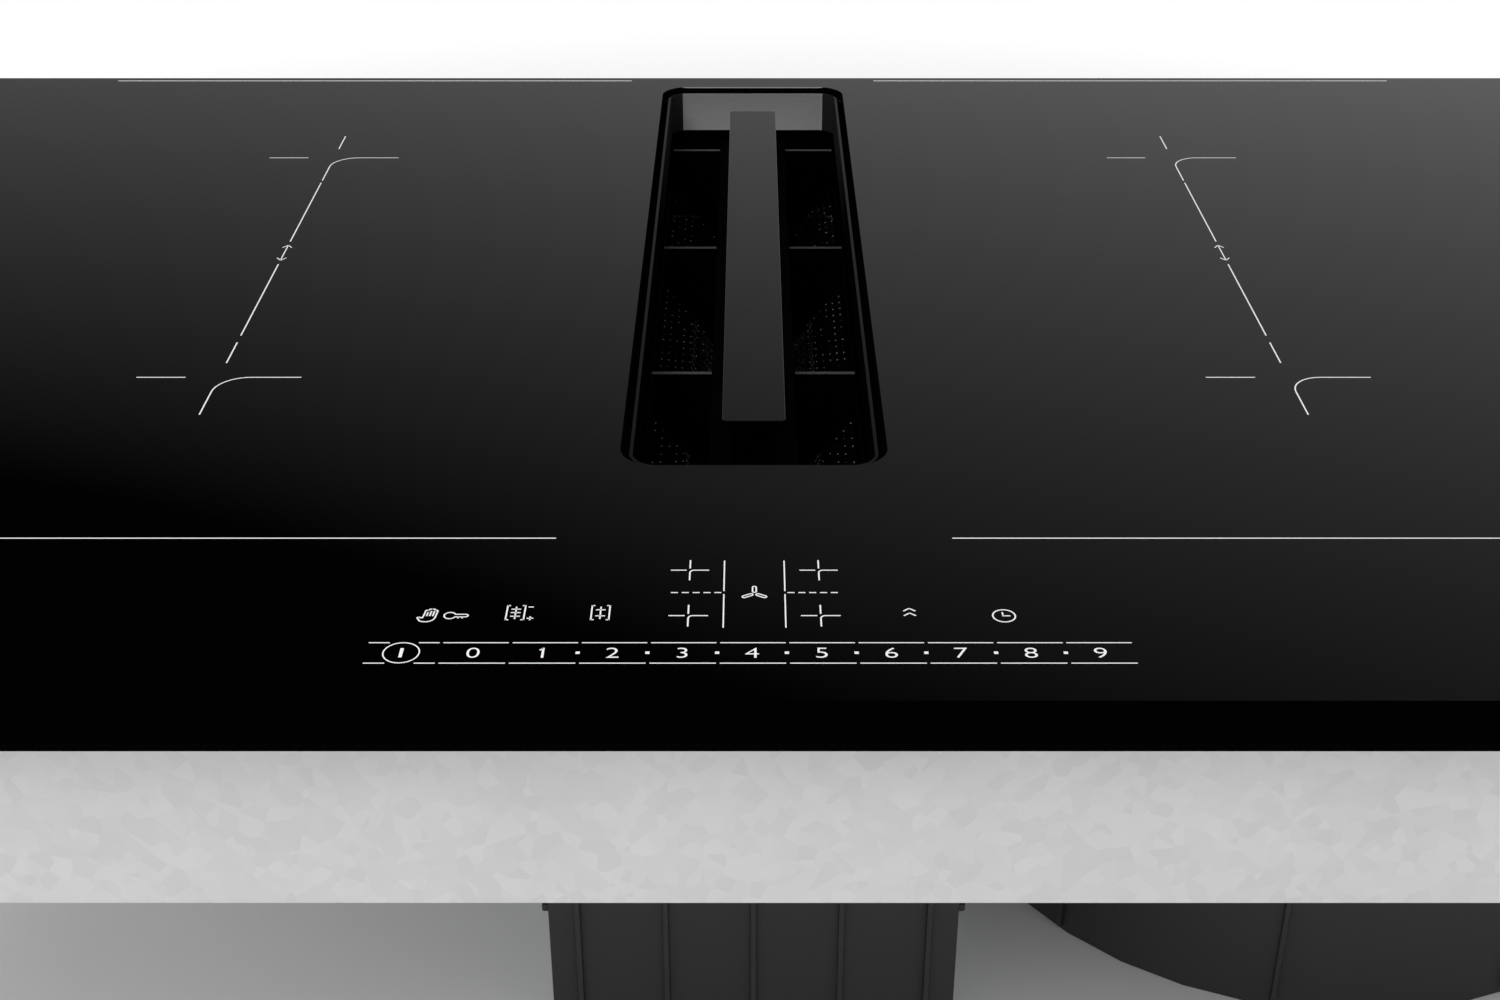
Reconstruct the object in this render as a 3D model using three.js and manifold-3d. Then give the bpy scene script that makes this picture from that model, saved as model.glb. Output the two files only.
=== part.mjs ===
// Downdraft induction cooktop: a glass panel with an air intake through its middle, four coils below the
// glass, and a fan that draws air down through a lift-out filter and pushes it out at the back.
// Millimetres, +Z up, +X to the right of someone who stands at the front, and the front is at -Y.
// The origin is the centre of the panel, at the underside of the foam seal that it rests on.
import * as THREE from "three";
import { mergeVertices } from "three/addons/utils/BufferGeometryUtils.js";
import Module from "manifold-3d";

const wasm = await Module();
wasm.setup();

// Glass panel.
const GLASS_WIDTH = 802;
const GLASS_THICKNESS = 4;
const GLASS_CORNER_RADIUS = 4;
const FRONT_STRIP = 140.1; // glass between the intake and the front edge
const FRONT_FACET_DEPTH = 16;
const FRONT_FACET_DROP = 2;

// Foam seal under the edge of the glass.
const SEAL_WIDTH = 8;
const SEAL_THICKNESS = 0.8;
const SEAL_EDGE_INSET = 3;

// Air intake: the cut-out in the glass, the rim frame in it and the seal that joins the two.
const INTAKE_WIDTH = 81.6;
const INTAKE_LENGTH = 367.6;
const INTAKE_CORNER_RADIUS = 11;
const RIM_GAP = 2.2;
const RIM_RECESS = 1;
const FRAME_WALL = 1.3;
const FRAME_HEIGHT = 18.3;
const FRAME_FLANGE = 11;
const FRAME_FLANGE_THICKNESS = 1.2;
const INTAKE_SEAL_THICKNESS = 1;
const INTAKE_SEAL_WIDTH = 6;
const INTAKE_SEAL_BACK_WIDTH = 2.3;
const SEAL_GAP = 0.5; // between the two seals, and between a seal and the edge that it follows
const WELL_CLEARANCE = 0.6;
const WELL_WALL = 1.6;

// Lift-out filter and its handle.
const FILTER_TOP_DEPTH = 25; // below the top of the glass
const FILTER_CLEARANCE = 0.4;
const FILTER_END_LEDGE = 11;
const FILTER_SIDE_WALL = 1.2;
const FILTER_CORNER_RADIUS = 3.75;
const FILTER_INNER_RADIUS = 1.875;
const FILTER_SIDE_DEPTH = 15;
const FILTER_DEPTH = 47;
const RIB_THICKNESS = 2;
const RIB_PITCH = 118.2;
const SPINE_WIDTH = 29.2;
const SPINE_WALL = 1.6;
const SPINE_RISE = 4;
const MESH_THICKNESS = 1.2;
const MESH_SLOT_LENGTH = 14;
const MESH_SLOT_WIDTH = 5;
const MESH_SLOT_PITCH = 24;
const MESH_SLOT_ROWS = 3;
const HANDLE_WIDTH = 20.2;
const HANDLE_THICKNESS = 3;
const HANDLE_END_GAP = 27.7;
const HANDLE_CORNER_RADIUS = 1.5;
const CARRIER_WIDTH = 14;
const CARRIER_END_INSET = 10;

// Trough below the filter that catches spilled liquid.
const COLLECTOR_WIDTH = 52;
const COLLECTOR_DEPTH = 32;
const COLLECTOR_WALL = 1.5;
const COLLECTOR_GAP = 4;
const LEDGE_DEPTH = 7;
const LEDGE_THICKNESS = 2.5;

// Sheet-metal tray that holds the coils and the electronics.
const TRAY_DEPTH = 58;
const TRAY_SHEET = 1;
const TRAY_SIDE_MARGIN = 28; // from the glass edge to the tray, left and right
const TRAY_FRONT_MARGIN = 13;
const TRAY_FLANGE = 9;
const VENT_COUNT = 8;
const VENT_WIDTH = 3;
const VENT_HEIGHT = 24;
const VENT_PITCH = 12;

// Coils and what carries them.
const COIL_WIDTH = 212;
const COIL_THICKNESS = 4.5;
const COIL_WINDING_WIDTH = 72;
const COIL_CORNER_RADIUS = 88;
const COIL_SIDE_GAP = 29.6; // from the intake well to the coil
const COIL_WALL_GAP = 2.6;
const COIL_MIDDLE_GAP = 25.6;
const COIL_TOUCH_GAP = 16.8;
const COIL_AIR_GAP = 2.5;
const COIL_CARRIER_THICKNESS = 3;
const FERRITE_THICKNESS = 4;
const FERRITE_ARM_WIDTH = 10;
const FERRITE_ARM_COUNT = 8;
const FERRITE_HUB_RADIUS = 22;
const SENSOR_RADIUS = 7;
const SENSOR_CUP_HEIGHT = 7;
const SENSOR_STEM_RADIUS = 3.5;
const SENSOR_FOOT_HEIGHT = 2;
const SENSOR_CLEARANCE = 2;
const SHIELD_THICKNESS = 1.2;
const SHIELD_MARGIN = 1.5;
const PILLAR_RADIUS = 4.5;
const PILLAR_INSET = 9;

// Electronics in the tray.
const BOARD_THICKNESS = 1.6;
const BOARD_LIFT = 6;
const BOARD_INSET = 20;
const POST_RADIUS = 3;
const POST_INSET = 6;
const HEATSINK_LENGTH = 120;
const HEATSINK_WIDTH = 54;
const HEATSINK_HEIGHT = 24;
const HEATSINK_BASE = 4;
const FIN_COUNT = 8;
const FIN_THICKNESS = 1.6;
const CHOKE_RADIUS = 17;
const CAPACITOR_SIZE = [30, 18, 21];
const CAPACITOR_COUNT = 3; // and as many chokes
const TOUCH_WIDTH = 224;
const TOUCH_DEPTH = 66;
const TOUCH_FRONT_GAP = 2;
const TOUCH_RIM = 2;

// Blowers that cool the electronics.
const BLOWER_ROTOR_RADIUS = 27;
const TONGUE_ANGLE = (75 * Math.PI) / 180; // where a blower's or the fan's scroll begins
const BLOWER_GAP = 3;
const BLOWER_PLAY = 1.5; // between rotor and housing, above and below
const BLOWER_GROWTH = 10;
const BLOWER_HEIGHT = 28;
const BLOWER_WALL = 1.5;
const BLOWER_EYE_RADIUS = 19;
const BLOWER_BLADE_COUNT = 11;
const BLOWER_BLADE_DEPTH = 6;
const BLOWER_BEARING_RADIUS = 4;
const BLOWER_BEARING_LENGTH = 14;

// Plenum below the tray, and the overflow tank in its skirt.
const PLENUM_SIDE_ROOM = 29.2;
const PLENUM_FRONT_ROOM = 9;
const PLENUM_WALL = 2;
const PLENUM_HEIGHT = 106;
const BRACKET_WIDTH = 40;
const BRACKET_THICKNESS = 6;
const DRAIN_RADIUS = 15;
const TANK_WALL = 2;
const TANK_CORNER_RADIUS = 4;
const TANK_CLEARANCE = 1.5;
const TANK_FLOOR_CLEARANCE = 4;
const TANK_SEAL_THICKNESS = 1.5;
const TANK_SEAL_WIDTH = 4;

// Main fan: impeller, scroll, inlet and motor.
const IMPELLER_RADIUS = 88;
const IMPELLER_BLADE_COUNT = 24;
const IMPELLER_BLADE_DEPTH = 20;
const IMPELLER_BLADE_THICKNESS = 1.6;
const IMPELLER_WALL = 2;
const IMPELLER_HUB_RADIUS = 12;
const IMPELLER_RIM_WIDTH = 4;
const IMPELLER_TOP_GAP = 5;
const IMPELLER_FLOOR_GAP = 6;
const SCROLL_GAP = 9;
const SCROLL_GROWTH = 60;
const SCROLL_WALL = 2.4;
const SCROLL_LID = 2.6;
const SCROLL_MOUTH_LENGTH = 6;
const FAN_SIDE_GAP = 14;
const FAN_CENTRE_Y = 20;
const EYE_RADIUS = 62;
const NOZZLE_WALL = 2;
const NOZZLE_FLANGE = 12;
const NOZZLE_GAP = 2; // above the impeller
const CHANNEL_HEIGHT = 56;
const CHANNEL_WALL = 2;
const CHANNEL_SIDE_ROOM = 20;
const MOTOR_RADIUS = 42;
const MOTOR_HEIGHT = 32;
const MOTOR_BOSS_RADIUS = 8;
const MOTOR_BOSS_HEIGHT = 3;
const SHAFT_RADIUS = 4;
const SHAFT_SEAT_HEIGHT = 8; // from the foot of the motor to the end of the shaft

// Outlet duct with its non-return flap.
const OUTLET_WIDTH = 222;
const OUTLET_HEIGHT = 89;
const OUTLET_FLANGE = 5;
const OUTLET_FLANGE_THICKNESS = 3;
const DUCT_WALL = 2;
const FLAP_THICKNESS = 1.6;
const FLAP_CLEARANCE = 1.2;
const FLAP_BARREL_RADIUS = 3;
const FLAP_PIN_RADIUS = 2;
const FLAP_SETBACK = 12;

// Mains terminal box and the fan's control box.
const TERMINAL_BOX_SIZE = [80, 56, 34];
const TERMINAL_BOX_INSET = 28;
const TERMINAL_BOX_WALL = 2;
const TERMINAL_EAR = 5;
const COVER_THICKNESS = 2;
const COVER_PIN_RADIUS = 1.5;
const TERMINAL_BLOCK_SIZE = [52, 20, 16];
const TERMINAL_POLE_COUNT = 5;
const TERMINAL_POCKET_WIDTH = 7;
const TERMINAL_POCKET_DEPTH = 6.5;
const TERMINAL_POCKET_HEIGHT = 12;
const GLAND_RADIUS = 10;
const GLAND_BORE_RADIUS = 5.5;
const GLAND_LENGTH = 14;
const CONTROL_BOX_SIZE = [46, 120, 50];
const CONTROL_BOX_DROP = 8;
const CONTROL_BOX_WALL = 2;
const CONTROL_LID_REACH = 4;

// Leaf springs on the sides of the tray, which hold it in its cut-out.
const SPRING_WIDTH = 30;
const SPRING_HEIGHT = 40;
const SPRING_FOOT = 10; // the flat ends above and below the bulge
const SPRING_BULGE = 5;
const SPRING_THICKNESS = 0.8;

// Fits and faceting.
const FIT_GAP = 0.2; // between faces that are glued, screwed or laid together
const RUN_GAP = 0.3; // radial play of a shaft or pin in its hole
const CUT = 1; // how far a cut runs past the face that it opens
const ARC_STEPS = 3;
const ROUND_SIDES = 28;
const SMALL_ROUND_SIDES = 12;
const POST_SIDES = 8;
const WELD_TOLERANCE = 1e-4;

// Finishes.
const finish = (color, roughness, metalness) => ({ color, roughness, metalness });
const BLACK_GLASS = finish(0x0b0c0e, 0.06, 0);
const BLACK_GLOSS = finish(0x101113, 0.15, 0);
const BLACK_PLASTIC = finish(0x17181a, 0.6, 0);
const GREY_PLASTIC = finish(0x4c5055, 0.6, 0);
const GALVANISED = finish(0xb4b8bc, 0.45, 0.9);
const ALUMINIUM = finish(0xc4c7ca, 0.4, 0.9);
const STEEL = finish(0x9a9da1, 0.3, 1);
const COPPER = finish(0xa8683c, 0.5, 0.7);
const FERRITE = finish(0x3b3b3f, 0.7, 0.1);
const BOARD_GREEN = finish(0x1f5a36, 0.6, 0);
const FOAM = finish(0x232427, 0.95, 0);
const TANK_GREY = finish(0x8b9095, 0.5, 0);

// Rectangles in plan.
const rectangle = (xLow, xHigh, yLow, yHigh) => ({ xLow, xHigh, yLow, yHigh });
const grow = (r, by) => rectangle(r.xLow - by, r.xHigh + by, r.yLow - by, r.yHigh + by);
const centred = (x, y, width, depth) =>
  rectangle(x - width / 2, x + width / 2, y - depth / 2, y + depth / 2);

// Levels and outlines that several pieces share.
const glassBottom = SEAL_THICKNESS + FIT_GAP;
const glassTop = glassBottom + GLASS_THICKNESS;
const backStrip = SEAL_EDGE_INSET + SEAL_WIDTH + SEAL_GAP + INTAKE_SEAL_BACK_WIDTH + SEAL_GAP;
const glassDepth = backStrip + INTAKE_LENGTH + FRONT_STRIP;
const glass = centred(0, 0, GLASS_WIDTH, glassDepth);
const cutout = rectangle(
  -INTAKE_WIDTH / 2,
  INTAKE_WIDTH / 2,
  glass.yLow + FRONT_STRIP,
  glass.yHigh - backStrip,
);
const frameOuter = grow(cutout, -RIM_GAP);
const frameInner = grow(frameOuter, -FRAME_WALL);
const frameOuterRadius = INTAKE_CORNER_RADIUS - RIM_GAP;
const frameInnerRadius = frameOuterRadius - FRAME_WALL;
const frameTop = glassTop - RIM_RECESS;
const frameBottom = frameTop - FRAME_HEIGHT;
const wellInner = grow(frameOuter, WELL_CLEARANCE);
const wellOuter = grow(wellInner, WELL_WALL);
const wellInnerRadius = frameOuterRadius + WELL_CLEARANCE;
const intakeSealTop = glassBottom - FIT_GAP;
const intakeSealBottom = intakeSealTop - INTAKE_SEAL_THICKNESS;
const flangeTop = intakeSealBottom - FIT_GAP;
const flangeBottom = flangeTop - FRAME_FLANGE_THICKNESS;
const flange = rectangle(
  frameOuter.xLow - FRAME_FLANGE,
  frameOuter.xHigh + FRAME_FLANGE,
  frameOuter.yLow - FRAME_FLANGE,
  cutout.yHigh + SEAL_GAP + INTAKE_SEAL_BACK_WIDTH,
);

const tray = rectangle(
  glass.xLow + TRAY_SIDE_MARGIN,
  glass.xHigh - TRAY_SIDE_MARGIN,
  glass.yLow + TRAY_FRONT_MARGIN,
  wellOuter.yHigh + RUN_GAP + TRAY_SHEET,
);
const trayInner = grow(tray, -TRAY_SHEET);
const trayTop = glassBottom - FIT_GAP;
const trayBottom = -TRAY_DEPTH;
const trayFloor = trayBottom + TRAY_SHEET;
const trayOpening = wellInner;

const touch = rectangle(
  -TOUCH_WIDTH / 2,
  TOUCH_WIDTH / 2,
  tray.yLow + TRAY_FLANGE + TOUCH_FRONT_GAP + TOUCH_RIM,
  tray.yLow + TRAY_FLANGE + TOUCH_FRONT_GAP + TOUCH_RIM + TOUCH_DEPTH,
);
const coilRoom = trayInner.yHigh - COIL_WALL_GAP - (touch.yHigh + TOUCH_RIM + COIL_TOUCH_GAP);
const coilDepth = (coilRoom - COIL_MIDDLE_GAP) / 2;
const backCoilY = trayInner.yHigh - COIL_WALL_GAP - coilDepth / 2;
const frontCoilY = backCoilY - coilDepth - COIL_MIDDLE_GAP;
const coilX = wellOuter.xHigh + COIL_SIDE_GAP + COIL_WIDTH / 2;
const coilTop = glassBottom - COIL_AIR_GAP;
const coilBottom = coilTop - COIL_THICKNESS;
const coilCarrierTop = coilBottom - FIT_GAP;
const coilCarrierBottom = coilCarrierTop - COIL_CARRIER_THICKNESS;
const ferriteTop = coilCarrierBottom - FIT_GAP;
const ferriteBottom = ferriteTop - FERRITE_THICKNESS;
const shieldTop = ferriteBottom - FIT_GAP;
const shieldBottom = shieldTop - SHIELD_THICKNESS;
const shield = grow(
  rectangle(
    coilX - COIL_WIDTH / 2,
    coilX + COIL_WIDTH / 2,
    frontCoilY - coilDepth / 2,
    backCoilY + coilDepth / 2,
  ),
  SHIELD_MARGIN,
);
const pillars = corners(grow(shield, -PILLAR_INSET));
const board = grow(shield, -BOARD_INSET);
const boardPosts = corners(grow(board, -POST_INSET));
const boardBottom = trayFloor + BOARD_LIFT;
const boardTop = boardBottom + BOARD_THICKNESS;

// The filter, its handle and the trough below it, one above the other.
const filterTop = glassTop - FILTER_TOP_DEPTH;
const filterBottom = filterTop - FILTER_DEPTH;
const filterLip = grow(frameInner, -FILTER_CLEARANCE);
const filterBody = rectangle(
  filterLip.xLow,
  filterLip.xHigh,
  frameInner.yLow + FILTER_END_LEDGE,
  frameInner.yHigh - FILTER_END_LEDGE,
);
const spineTop = filterTop + SPINE_RISE;
const handleTop = glassTop - RIM_RECESS;
const handleBottom = handleTop - HANDLE_THICKNESS;
const handle = rectangle(
  -HANDLE_WIDTH / 2,
  HANDLE_WIDTH / 2,
  frameInner.yLow + HANDLE_END_GAP,
  frameInner.yHigh - HANDLE_END_GAP,
);
const ledge = rectangle(
  wellInner.xLow,
  wellInner.xHigh,
  wellInner.yLow + LEDGE_DEPTH,
  wellInner.yHigh - LEDGE_DEPTH,
);
const ledgeTop = filterTop - RIB_THICKNESS - FIT_GAP;
const collectorTop = filterBottom - COLLECTOR_GAP;
const collectorBottom = collectorTop - COLLECTOR_DEPTH;
const collectorLip = rectangle(
  -COLLECTOR_WIDTH / 2,
  COLLECTOR_WIDTH / 2,
  ledge.yLow + WELL_CLEARANCE,
  ledge.yHigh - WELL_CLEARANCE,
);
const collector = rectangle(
  collectorLip.xLow,
  collectorLip.xHigh,
  collectorLip.yLow + LEDGE_DEPTH,
  collectorLip.yHigh - LEDGE_DEPTH,
);

// The plenum and everything that hangs below the tray.
const plenum = rectangle(
  wellOuter.xLow - PLENUM_SIDE_ROOM,
  wellOuter.xHigh + PLENUM_SIDE_ROOM,
  wellOuter.yLow - PLENUM_FRONT_ROOM,
  wellOuter.yHigh,
);
const plenumInner = grow(plenum, -PLENUM_WALL);
const plenumTop = trayBottom - FIT_GAP;
const plenumBottom = plenumTop - PLENUM_HEIGHT;
const channelTop = trayBottom - FIT_GAP;
const channelBottom = channelTop - CHANNEL_HEIGHT;
const scrollTop = channelBottom - FIT_GAP;
const scrollLidBottom = scrollTop - SCROLL_LID;
const scrollHeight = OUTLET_HEIGHT + 2 * (DUCT_WALL + OUTLET_FLANGE + RUN_GAP);
const baseLevel = scrollTop - scrollHeight;
const outletMiddle = (scrollTop + baseLevel) / 2;

const tankBottom = baseLevel + TANK_FLOOR_CLEARANCE;
const tankSealTop = plenumBottom - FIT_GAP;
const tankTop = tankSealTop - TANK_SEAL_THICKNESS - FIT_GAP;
const tank = grow(plenumInner, -TANK_CLEARANCE);

// The scroll widens with the angle from its tongue to a full turn, where it leaves towards the back.
const scrollRadius = (start, growth, angle) =>
  start + (growth * (angle - TONGUE_ANGLE)) / (2 * Math.PI - TONGUE_ANGLE);
const scrollStart = IMPELLER_RADIUS + SCROLL_GAP;
const scrollEnd = scrollStart + SCROLL_GROWTH;
const fanX =
  plenum.xHigh + FAN_SIDE_GAP + SCROLL_WALL + scrollRadius(scrollStart, SCROLL_GROWTH, Math.PI);
const fanY = FAN_CENTRE_Y;
const mouthY = fanY + scrollStart * Math.sin(TONGUE_ANGLE) + SCROLL_MOUTH_LENGTH;
const mouthLow = fanX + scrollStart * Math.cos(TONGUE_ANGLE);
const mouthHigh = fanX + scrollEnd;
const outletY = tray.yHigh;
const outletLow = mouthHigh - OUTLET_WIDTH;

// ---------------------------------------------------------------------------------------------
// Solids.

// A closed geometry as a solid that can be joined and cut.
function toSolid(geometry) {
  const bare = geometry.index ? geometry.toNonIndexed() : geometry.clone();
  bare.deleteAttribute("normal");
  bare.deleteAttribute("uv");
  const welded = mergeVertices(bare, WELD_TOLERANCE);
  return new wasm.Manifold(
    new wasm.Mesh({
      numProp: 3,
      vertProperties: welded.attributes.position.array,
      triVerts: new Uint32Array(welded.index.array),
    }),
  );
}

function toGeometry(solid) {
  const faces = solid.getMesh();
  const geometry = new THREE.BufferGeometry();
  geometry.setAttribute("position", new THREE.BufferAttribute(faces.vertProperties, faces.numProp));
  geometry.setIndex(new THREE.BufferAttribute(faces.triVerts, 1));
  geometry.computeVertexNormals();
  return geometry;
}

const join = (solids) => solids.reduce((whole, solid) => whole.add(solid));
const cut = (whole, solids) => solids.reduce((left, solid) => left.subtract(solid), whole);

// A box over a rectangle in plan.
function block(r, zLow, zHigh) {
  const geometry = new THREE.BoxGeometry(r.xHigh - r.xLow, r.yHigh - r.yLow, zHigh - zLow);
  geometry.translate((r.xLow + r.xHigh) / 2, (r.yLow + r.yHigh) / 2, (zLow + zHigh) / 2);
  return toSolid(geometry);
}

// An outline drawn in plan and raised from one level to another.
function prism(outline, zLow, zHigh) {
  const geometry = new THREE.ExtrudeGeometry(outline, {
    depth: zHigh - zLow,
    bevelEnabled: false,
    curveSegments: ARC_STEPS,
  });
  geometry.translate(0, 0, zLow);
  return toSolid(geometry);
}

function roundedOutline(r, radius) {
  const outline = new THREE.Shape();
  outline.absarc(r.xHigh - radius, r.yLow + radius, radius, -Math.PI / 2, 0);
  outline.absarc(r.xHigh - radius, r.yHigh - radius, radius, 0, Math.PI / 2);
  outline.absarc(r.xLow + radius, r.yHigh - radius, radius, Math.PI / 2, Math.PI);
  outline.absarc(r.xLow + radius, r.yLow + radius, radius, Math.PI, (3 * Math.PI) / 2);
  outline.closePath();
  return outline;
}

const slab = (r, radius, zLow, zHigh) => prism(roundedOutline(r, radius), zLow, zHigh);

// The wall between two outlines, open at the top and at the bottom.
function ring(outer, outerRadius, inner, innerRadius, zLow, zHigh) {
  return slab(outer, outerRadius, zLow, zHigh).subtract(
    slab(inner, innerRadius, zLow - CUT, zHigh + CUT),
  );
}

function polygon(points) {
  return new THREE.Shape(points.map(([x, y]) => new THREE.Vector2(x, y)));
}

// A section given as [y, z] points, run along X.
function beamAlongX(points, xLow, xHigh) {
  const geometry = new THREE.ExtrudeGeometry(polygon(points), {
    depth: xHigh - xLow,
    bevelEnabled: false,
  });
  const turn = new THREE.Matrix4().makeBasis(
    new THREE.Vector3(0, 1, 0),
    new THREE.Vector3(0, 0, 1),
    new THREE.Vector3(1, 0, 0),
  );
  geometry.applyMatrix4(turn);
  geometry.translate(xLow, 0, 0);
  return toSolid(geometry);
}

// A section given as [x, z] points, run along Y.
function beamAlongY(points, yLow, yHigh) {
  const geometry = new THREE.ExtrudeGeometry(polygon(points), {
    depth: yHigh - yLow,
    bevelEnabled: false,
  });
  geometry.rotateX(Math.PI / 2);
  geometry.translate(0, yHigh, 0);
  return toSolid(geometry);
}

// An upright cylinder.
function post(x, y, radius, zLow, zHigh, sides = SMALL_ROUND_SIDES) {
  const geometry = new THREE.CylinderGeometry(radius, radius, zHigh - zLow, sides);
  geometry.rotateX(Math.PI / 2);
  geometry.translate(x, y, (zLow + zHigh) / 2);
  return toSolid(geometry);
}

// A cylinder that lies along X.
function pin(xLow, xHigh, y, z, radius) {
  const geometry = new THREE.CylinderGeometry(radius, radius, xHigh - xLow, SMALL_ROUND_SIDES);
  geometry.rotateZ(Math.PI / 2);
  geometry.translate((xLow + xHigh) / 2, y, z);
  return toSolid(geometry);
}

// A round body about an upright axis, from [radius, z] points that close on themselves.
function turned(x, y, points, sides = ROUND_SIDES) {
  const profile = points.map(([radius, z]) => new THREE.Vector2(radius, z));
  profile.push(profile[0].clone());
  const geometry = new THREE.LatheGeometry(profile, sides);
  geometry.rotateX(Math.PI / 2);
  geometry.translate(x, y, 0);
  return toSolid(geometry);
}

function corners(r) {
  return [
    [r.xLow, r.yLow],
    [r.xHigh, r.yLow],
    [r.xLow, r.yHigh],
    [r.xHigh, r.yHigh],
  ];
}

// The same rectangle on the right of the middle (side 1) or mirrored to the left (side -1).
function onSide(r, side) {
  return side > 0 ? r : rectangle(-r.xHigh, -r.xLow, r.yLow, r.yHigh);
}

const cooktop = new THREE.Group();

// Every sub-part becomes a mesh of its own in the group that places it.
function addPiece(name, solid, look, parent = cooktop) {
  const material = new THREE.MeshStandardMaterial({
    color: look.color,
    roughness: look.roughness,
    metalness: look.metalness,
  });
  const mesh = new THREE.Mesh(toGeometry(solid), material);
  mesh.name = name;
  parent.add(mesh);
}

const SIDES = [
  [1, "right"],
  [-1, "left"],
];

// ---------------------------------------------------------------------------------------------
// Glass and seals.

function glassPanel() {
  const panel = ring(
    glass,
    GLASS_CORNER_RADIUS,
    cutout,
    INTAKE_CORNER_RADIUS,
    glassBottom,
    glassTop,
  );
  const slope = FRONT_FACET_DROP / FRONT_FACET_DEPTH;
  const facetStart = glass.yLow + FRONT_FACET_DEPTH;
  const facet = [
    [facetStart, glassTop],
    [facetStart, glassTop + CUT],
    [glass.yLow - CUT, glassTop + CUT],
    [glass.yLow - CUT, glassTop - slope * (FRONT_FACET_DEPTH + CUT)],
  ];
  return panel.subtract(beamAlongX(facet, glass.xLow - CUT, glass.xHigh + CUT));
}

function glassSeal() {
  const outer = grow(glass, -SEAL_EDGE_INSET);
  const inner = grow(outer, -SEAL_WIDTH);
  return ring(outer, GLASS_CORNER_RADIUS, inner, GLASS_CORNER_RADIUS, 0, SEAL_THICKNESS);
}

function intakeSeal() {
  const inner = grow(cutout, SEAL_GAP);
  const innerRadius = INTAKE_CORNER_RADIUS + SEAL_GAP;
  const outer = rectangle(
    inner.xLow - INTAKE_SEAL_WIDTH,
    inner.xHigh + INTAKE_SEAL_WIDTH,
    inner.yLow - INTAKE_SEAL_WIDTH,
    inner.yHigh + INTAKE_SEAL_BACK_WIDTH,
  );
  return ring(outer, innerRadius, inner, innerRadius, intakeSealBottom, intakeSealTop);
}

addPiece("glass_panel", glassPanel(), BLACK_GLASS);
addPiece("glass_seal", glassSeal(), FOAM);
addPiece("intake_seal", intakeSeal(), FOAM);

// ---------------------------------------------------------------------------------------------
// Intake frame and the well that leads down through the tray.

function intakeFrame() {
  const rim = slab(frameOuter, frameOuterRadius, frameBottom, frameTop);
  const collar = slab(flange, frameOuterRadius, flangeBottom, flangeTop);
  const mouth = slab(frameInner, frameInnerRadius, frameBottom - CUT, frameTop + CUT);
  return rim.add(collar).subtract(mouth);
}

function intakeWell() {
  const top = flangeBottom - FIT_GAP;
  const bottom = trayFloor + FIT_GAP;
  const walls = ring(
    wellOuter,
    wellInnerRadius + WELL_WALL,
    wellInner,
    wellInnerRadius,
    bottom,
    top,
  );
  const frontLedge = rectangle(wellInner.xLow, wellInner.xHigh, wellInner.yLow, ledge.yLow);
  const backLedge = rectangle(wellInner.xLow, wellInner.xHigh, ledge.yHigh, wellInner.yHigh);
  const ledges = [frontLedge, backLedge].map((r) =>
    block(grow(r, WELL_WALL / 2), ledgeTop - LEDGE_THICKNESS, ledgeTop).intersect(
      slab(wellOuter, wellInnerRadius + WELL_WALL, bottom, top),
    ),
  );
  return join([walls, ...ledges]);
}

addPiece("intake_frame", intakeFrame(), BLACK_GLOSS);
addPiece("intake_well", intakeWell(), BLACK_PLASTIC);

// ---------------------------------------------------------------------------------------------
// Filter: a frame with cross ribs and a hollow spine, a sloping mesh on each side, and the handle.

// The slope that a mesh lies on, from the foot of the spine to the bottom of the frame's side wall.
const meshFoot = [SPINE_WIDTH / 2 + RUN_GAP, filterBottom + RIB_THICKNESS];
const meshHead = [filterBody.xHigh, filterTop - FILTER_SIDE_DEPTH - RUN_GAP];
const meshRun = meshHead[0] - meshFoot[0];
const meshRise = meshHead[1] - meshFoot[1];

function filterFrame() {
  const sideBottom = filterTop - FILTER_SIDE_DEPTH;
  const [footX, footZ] = meshFoot;
  const section = [
    [filterBody.xHigh, filterTop],
    [filterBody.xLow, filterTop],
    [filterBody.xLow, sideBottom],
    [-footX, footZ + RUN_GAP],
    [footX, footZ + RUN_GAP],
    [filterBody.xHigh, sideBottom],
  ];
  const sideWalls = ring(
    filterBody,
    FILTER_CORNER_RADIUS,
    rectangle(
      filterBody.xLow + FILTER_SIDE_WALL,
      filterBody.xHigh - FILTER_SIDE_WALL,
      filterBody.yLow + RIB_THICKNESS,
      filterBody.yHigh - RIB_THICKNESS,
    ),
    FILTER_INNER_RADIUS,
    sideBottom,
    filterTop,
  );
  const ribs = ribPlaces().map((y) =>
    beamAlongY(section, y - RIB_THICKNESS / 2, y + RIB_THICKNESS / 2),
  );
  const lips = [
    rectangle(filterLip.xLow, filterLip.xHigh, filterLip.yLow, filterBody.yLow + RIB_THICKNESS),
    rectangle(filterLip.xLow, filterLip.xHigh, filterBody.yHigh - RIB_THICKNESS, filterLip.yHigh),
  ].map((r) =>
    block(r, filterTop - RIB_THICKNESS, filterTop).intersect(
      slab(filterLip, frameInnerRadius, filterBottom, filterTop + CUT),
    ),
  );
  const spine = rectangle(-SPINE_WIDTH / 2, SPINE_WIDTH / 2, filterBody.yLow, filterBody.yHigh);
  const spineBody = block(spine, filterBottom, spineTop);
  const spineHollow = block(grow(spine, -SPINE_WALL), filterBottom - CUT, spineTop - SPINE_WALL);
  return join([sideWalls, ...ribs, ...lips, spineBody]).subtract(spineHollow);
}

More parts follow.
